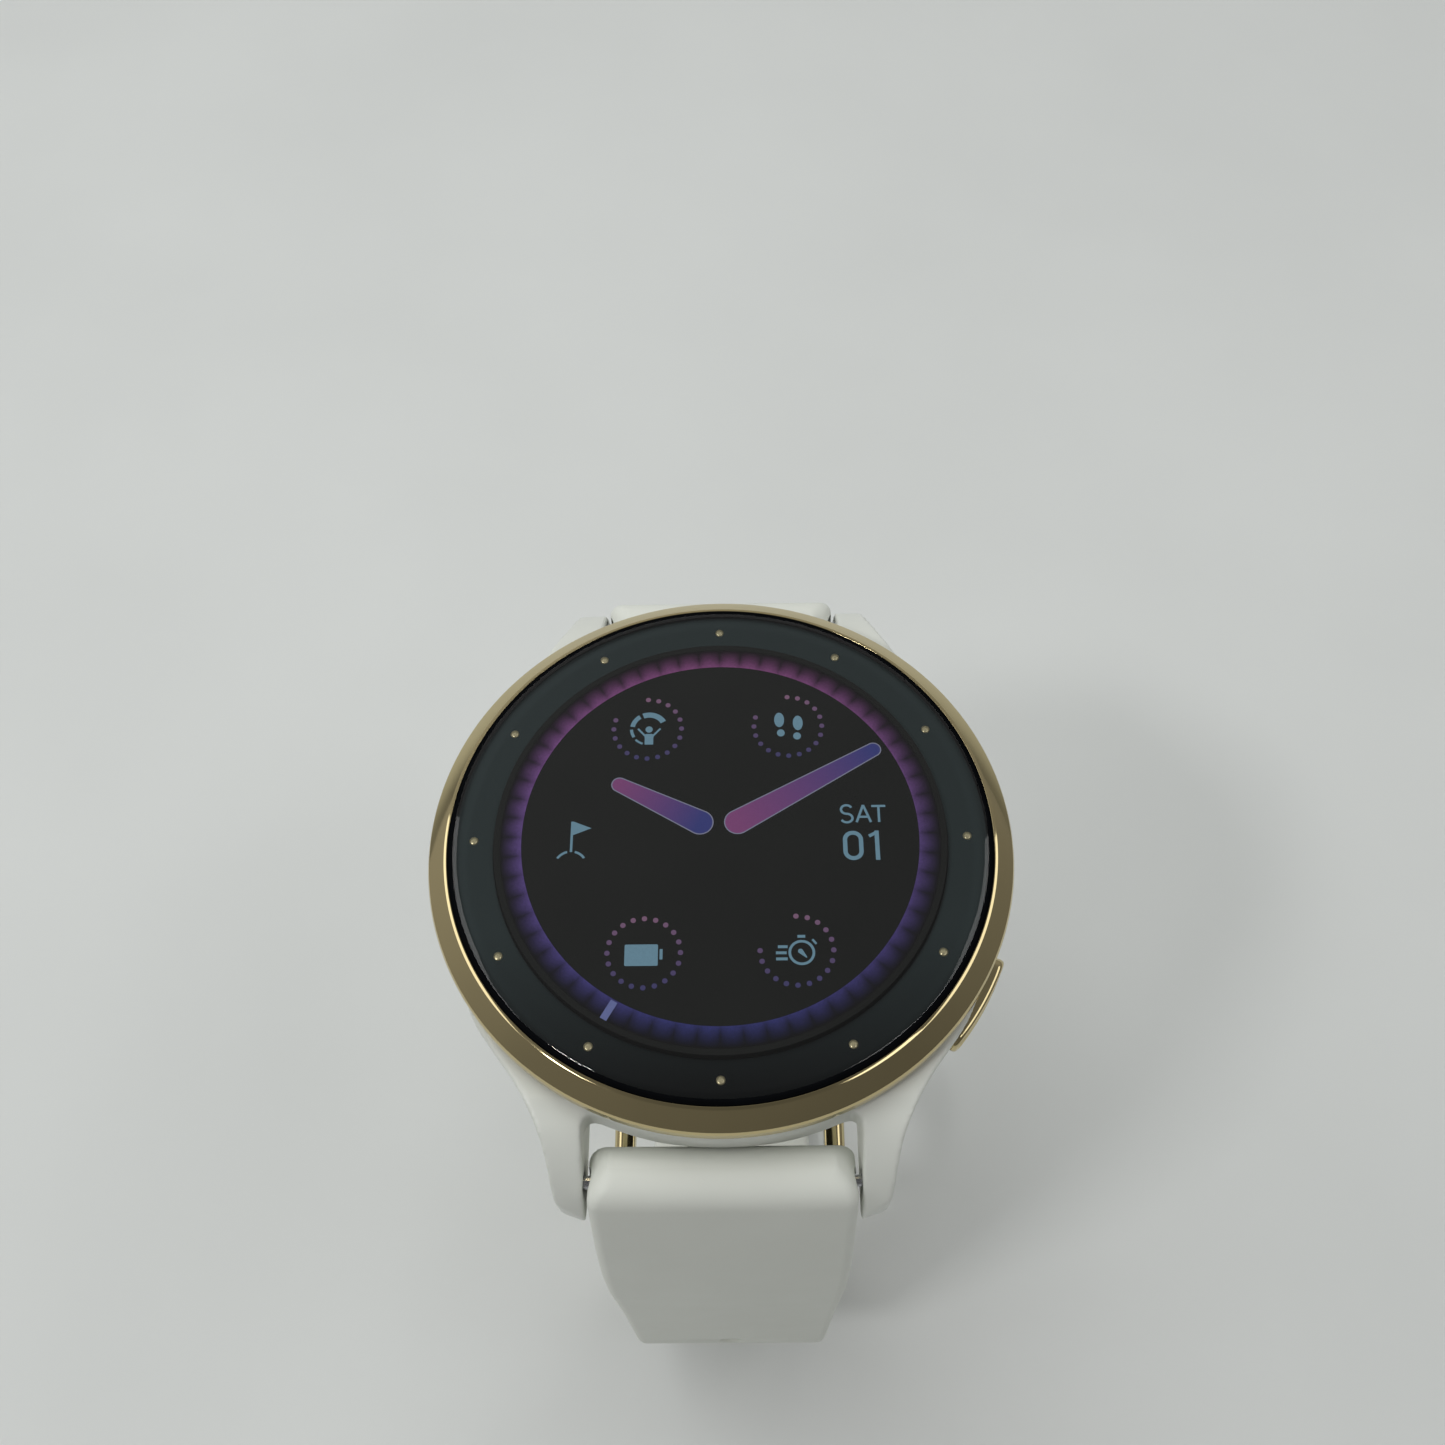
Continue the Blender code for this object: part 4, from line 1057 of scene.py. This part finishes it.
def bar_cuts(end):
    """The bore for the lug bar, and the notch that leaves its lever free."""
    y = end * BAR_Y
    bore = round_bar("bore", (-9.5, y, BAR_Z), (9.5, y, BAR_Z), 1.0)
    notch = rounded_box("notch", (4.6, -0.75, 0.0), (9.6, 0.75, 3.0), 0.25, 4)
    inward = Vector((0.0, -end * math.sin(-STRAP_DROP), -math.cos(-STRAP_DROP)))
    turn = Vector((0, 0, 1)).rotation_difference(inward).to_matrix().to_4x4()
    notch.transform(Matrix.Translation(Vector((0.0, y, BAR_Z)) * MM) @ turn)
    return [bore, notch]


def hole_tool(place, heading, thick):
    """A round hole whose rims flare out softly at both faces."""
    normal = Vector((-math.sin(heading), math.cos(heading)))
    half = thick + 1.2
    low, high = place - normal * half, place + normal * half
    rim = thick / (2 * half)
    flare = 0.16 / (2 * half)
    entry = [(0.0, 0.16), (0.5 - rim, 0.14), (0.5 - rim + flare * 0.4, 0.05), (0.5 - rim + flare, 0.0)]
    stations = [(share, HOLE_R + wider) for share, wider in entry]
    stations += [(1 - share, radius) for share, radius in reversed(stations)]
    return round_bar("hole", (0, -low.x, low.y), (0, -high.x, high.y), stations, 40)


def line_at(line, distance):
    return line[round(distance / STRAP_STEP)]


def make_strap_lower():
    line = strap_line(LONG_LINE)
    mesh = loft_strap("strap_long", strap_sections(line, True, LONG_BARREL_R), -1)
    holes = []
    for i in range(HOLE_COUNT):
        place, heading, length = line_at(line, HOLE_FIRST + HOLE_PITCH * i)
        holes.append(hole_tool(place, heading, half_thickness(length)))
    tools = bar_cuts(-1) + [joined("holes", holes)]
    mesh = carved(mesh, tools)
    show("strap_long", mesh, STRAP, "strap_lower_half", ["strap_lower"], 50.0)


def make_strap_upper():
    line = strap_line(SHORT_LINE)
    mesh = loft_strap("strap_short", strap_sections(line, False, BARREL_R), 1)
    bar = line[-1][0]
    ends = ((-TIP_HALF_W, bar.x, bar.y), (TIP_HALF_W, bar.x, bar.y))
    stations = ((0.0, 1.45), (0.006, 1.66), (0.02, 1.75), (0.98, 1.75), (0.994, 1.66), (1.0, 1.45))
    mesh = carved(mesh, [round_bar("loop", *ends, stations)], "UNION")
    tools = bar_cuts(1)
    ends = ((-12, bar.x, bar.y), (12, bar.x, bar.y))
    tools.append(round_bar("buckle_bore", *ends, 0.9))
    low, high = (-1.4, bar.x - 3.0, bar.y - 3.0), (1.4, bar.x + 3.2, bar.y + 3.0)
    tools.append(rounded_box("slot", low, high, 0.5, 5, 2))
    mesh = carved(mesh, tools)
    show("strap_short", mesh, STRAP, "strap_upper_half", ["strap_upper"], 50.0)
    make_keeper(line)
    make_buckle(bar)


def make_keeper(line):
    place, heading, length = line_at(line, KEEPER_AT)
    wall, gap, room, long = 1.1, 0.35, 3.0, 2.5
    half = half_width(length) + gap + wall
    top = STRAP_THICK / 2 + gap + wall
    low = -STRAP_THICK / 2 - gap - room - wall
    loop = rounded_box("keeper_band", (-half, -long, low), (half, long, top), 0.5, 6)
    inner_low, inner_high = (-half + wall, -9, low + wall), (half - wall, 9, top - wall)
    mesh = carved(loop, [rounded_box("hollow", inner_low, inner_high, 0.6, 6, 1)], bevel=0.25)
    tilt = math.atan2(-math.sin(heading), -math.cos(heading))
    centre = Vector((0.0, place.x, place.y)) * MM
    mesh.transform(Matrix.Translation(centre) @ Matrix.Rotation(tilt, 4, "X"))
    show("keeper_band", mesh, STRAP, "keeper", ["keeper_loop"], 50.0)


def make_buckle(bar):
    """Polished frame and tongue on the bar at the end of the short half."""
    y, z = bar.x, bar.y
    low, high = (-10.6, y - 9.5, z - 1.2), (10.6, y + 1.5, z + 1.2)
    outside = rounded_box("buckle_shell", low, high, 0.85, 8)
    window = rounded_box("window", (-8.7, y - 7.6, z - 3), (8.7, y + 4.0, z + 3), 1.0, 8, 2)
    holes = round_bar("holes", (-9.9, y, z), (9.9, y, z), 0.85)
    seat = rounded_box("seat", (-1.1, y - 10.5, z - 2.0), (1.1, y - 6.8, z - 0.1), 0.2, 4)
    mesh = carved(outside, [window, holes, seat], bevel=0.22)
    show("buckle_shell", mesh, GOLD, "buckle", ["buckle_frame"], 50.0)
    eye = [(1.5, -0.75), (1.35, -0.9), (0.87, -0.9), (0.87, 0.9), (1.35, 0.9), (1.5, 0.75)]
    ring = turned("tongue_shell", fillet(eye, 0.05, 2), steps=64)
    on_bar = Matrix.Translation(Vector((0, y, z)) * MM)
    ring.transform(on_bar @ Matrix.Rotation(math.radians(90), 4, "Y"))
    finger = rounded_box("finger", (-0.8, y - 9.15, z - 1.25), (0.8, y - 1.1, z - 0.4), 0.3, 6)
    mesh = carved(ring, [finger], "UNION")
    show("tongue_shell", mesh, GOLD, "tongue", ["buckle_tongue"], 50.0)


def make_springs():
    """The bar springs, each a copy of its packed mesh that rides on its strap half."""
    for half, end in (("lower", -1), ("upper", 1)):
        mesh = copy_of(f"bar_spring_{half}")
        spring = show(f"spring_coil_{half}", mesh, STEEL, f"strap_{half}_half",
                      [f"bar_spring_{half}"])
        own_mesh(spring)


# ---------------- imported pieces

def dress_packed_pieces():
    """Give the pieces that are shown as packed their procedural finish."""
    slots = {p["node"]: p["material_slot"] for p in frame["record"]["subparts"]}
    for name, obj in NODES.items():
        obj.data.materials.clear()
        obj.data.materials.append(SLOT_LOOKS[slots[name]])


# ---------------- stage

def make_floor():
    size, gap = 1500.0, 0.02
    corners = [(x * size, y * size, FLOOR_Z - gap) for x, y in ((-1, -1), (1, -1), (1, 1), (-1, 1))]
    look = Surface("pale_floor", rgb(226, 228, 226), 0.75)
    look.mottle(40.0, 0.02)
    look.bump(0.8, 0.02, 0.2)
    mesh = mesh_from("floor", corners, [(0, 1, 2, 3)], closed=False)
    mesh.materials.append(look.material)
    placed("floor", mesh)


def area_light(name, place, size, power):
    """A soft box aimed at the middle of the watch."""
    data = bpy.data.lights.new(name, "AREA")
    data.shape = "RECTANGLE"
    data.size, data.size_y = size
    data.energy = power
    lamp = placed(name, data)
    lamp.location = place
    lamp.rotation_euler = (-Vector(place)).to_track_quat("-Z", "Y").to_euler()
    return lamp


def make_world():
    """Soft surroundings: dimmer overhead, in front and to the right than behind and to the left."""
    world = bpy.data.worlds.new("studio")
    SCENE.world = world
    world.use_nodes = True
    tree = world.node_tree
    split = tree.nodes.new("ShaderNodeSeparateXYZ")
    tree.links.new(tree.nodes.new("ShaderNodeTexCoord").outputs["Generated"], split.inputs["Vector"])
    level = None
    for axis, stops in (("X", ((0.0, 1.25), (0.5, 1.0), (1.0, 0.72))),
                        ("Y", ((0.0, 0.45), (0.25, 0.55), (0.5, 0.85), (1.0, 1.25))),
                        ("Z", ((0.5, 0.30), (0.75, 0.32), (0.95, 0.20), (1.0, 0.14)))):
        share = tree.nodes.new("ShaderNodeMapRange")
        share.inputs["From Min"].default_value = -1.0
        tree.links.new(split.outputs[axis], share.inputs["Value"])
        ramp = tree.nodes.new("ShaderNodeValToRGB")
        elements = ramp.color_ramp.elements
        while len(elements) < len(stops):
            elements.new(0.5)
        for element, (position, value) in zip(elements, stops):
            element.position = position
            element.color = (value, value, value, 1.0)
        tree.links.new(share.outputs["Result"], ramp.inputs["Fac"])
        if level is None:
            level = ramp.outputs["Color"]
            continue
        product = tree.nodes.new("ShaderNodeVectorMath")
        product.operation = "MULTIPLY"
        tree.links.new(level, product.inputs[0])
        tree.links.new(ramp.outputs["Color"], product.inputs[1])
        level = product.outputs["Vector"]
    tree.links.new(level, tree.nodes["Background"].inputs["Color"])


def make_lights():
    """Lamps in metres and watts. The bezel mirrors the small ones, but not the overhead one."""
    overhead = area_light("overhead", (-0.08, 0.22, 0.56), (0.5, 0.5), 1.45)
    overhead.data.color = (0.97, 1.0, 0.98)
    overhead.visible_glossy = False
    area_light("left_box", (-0.396, 0.07, 0.375), (0.42, 0.21), 0.40)
    area_light("right_box", (0.392, 0.055, 0.396), (0.38, 0.21), 0.36)
    area_light("corner_box", (0.264, -0.149, 0.457), (0.14, 0.12), 0.10)
    area_light("sparkle", (-0.32, -0.22, 0.50), (0.11, 0.08), 0.7)


def make_camera():
    back = Vector((math.sin(AZIMUTH) * math.cos(ELEVATION), -math.cos(AZIMUTH) * math.cos(ELEVATION),
                   math.sin(ELEVATION)))
    level = Vector((math.cos(AZIMUTH), math.sin(AZIMUTH), 0.0))
    rise = back.cross(level)
    right = level * math.cos(ROLL) + rise * math.sin(ROLL)
    up = rise * math.cos(ROLL) - level * math.sin(ROLL)
    data = bpy.data.cameras.new("camera")
    data.lens = LENS_MM
    data.sensor_width = SENSOR_MM
    data.clip_start, data.clip_end = 0.005, 10.0
    camera = placed("camera", data)
    turn = Matrix((right, up, back)).transposed().to_4x4()
    camera.matrix_world = Matrix.Translation((AIM + back * DISTANCE) * MM) @ turn
    SCENE.camera = camera


# ---------------- build

make_case()
make_bezel()
make_glass()
make_dial()
make_dial_art()
for button_name, (button_angle, button_outer) in BUTTONS.items():
    make_button(button_name, button_angle, button_outer)
make_back()
make_strap_lower()
make_strap_upper()
make_springs()
dress_packed_pieces()
make_floor()
make_world()
make_lights()
make_camera()
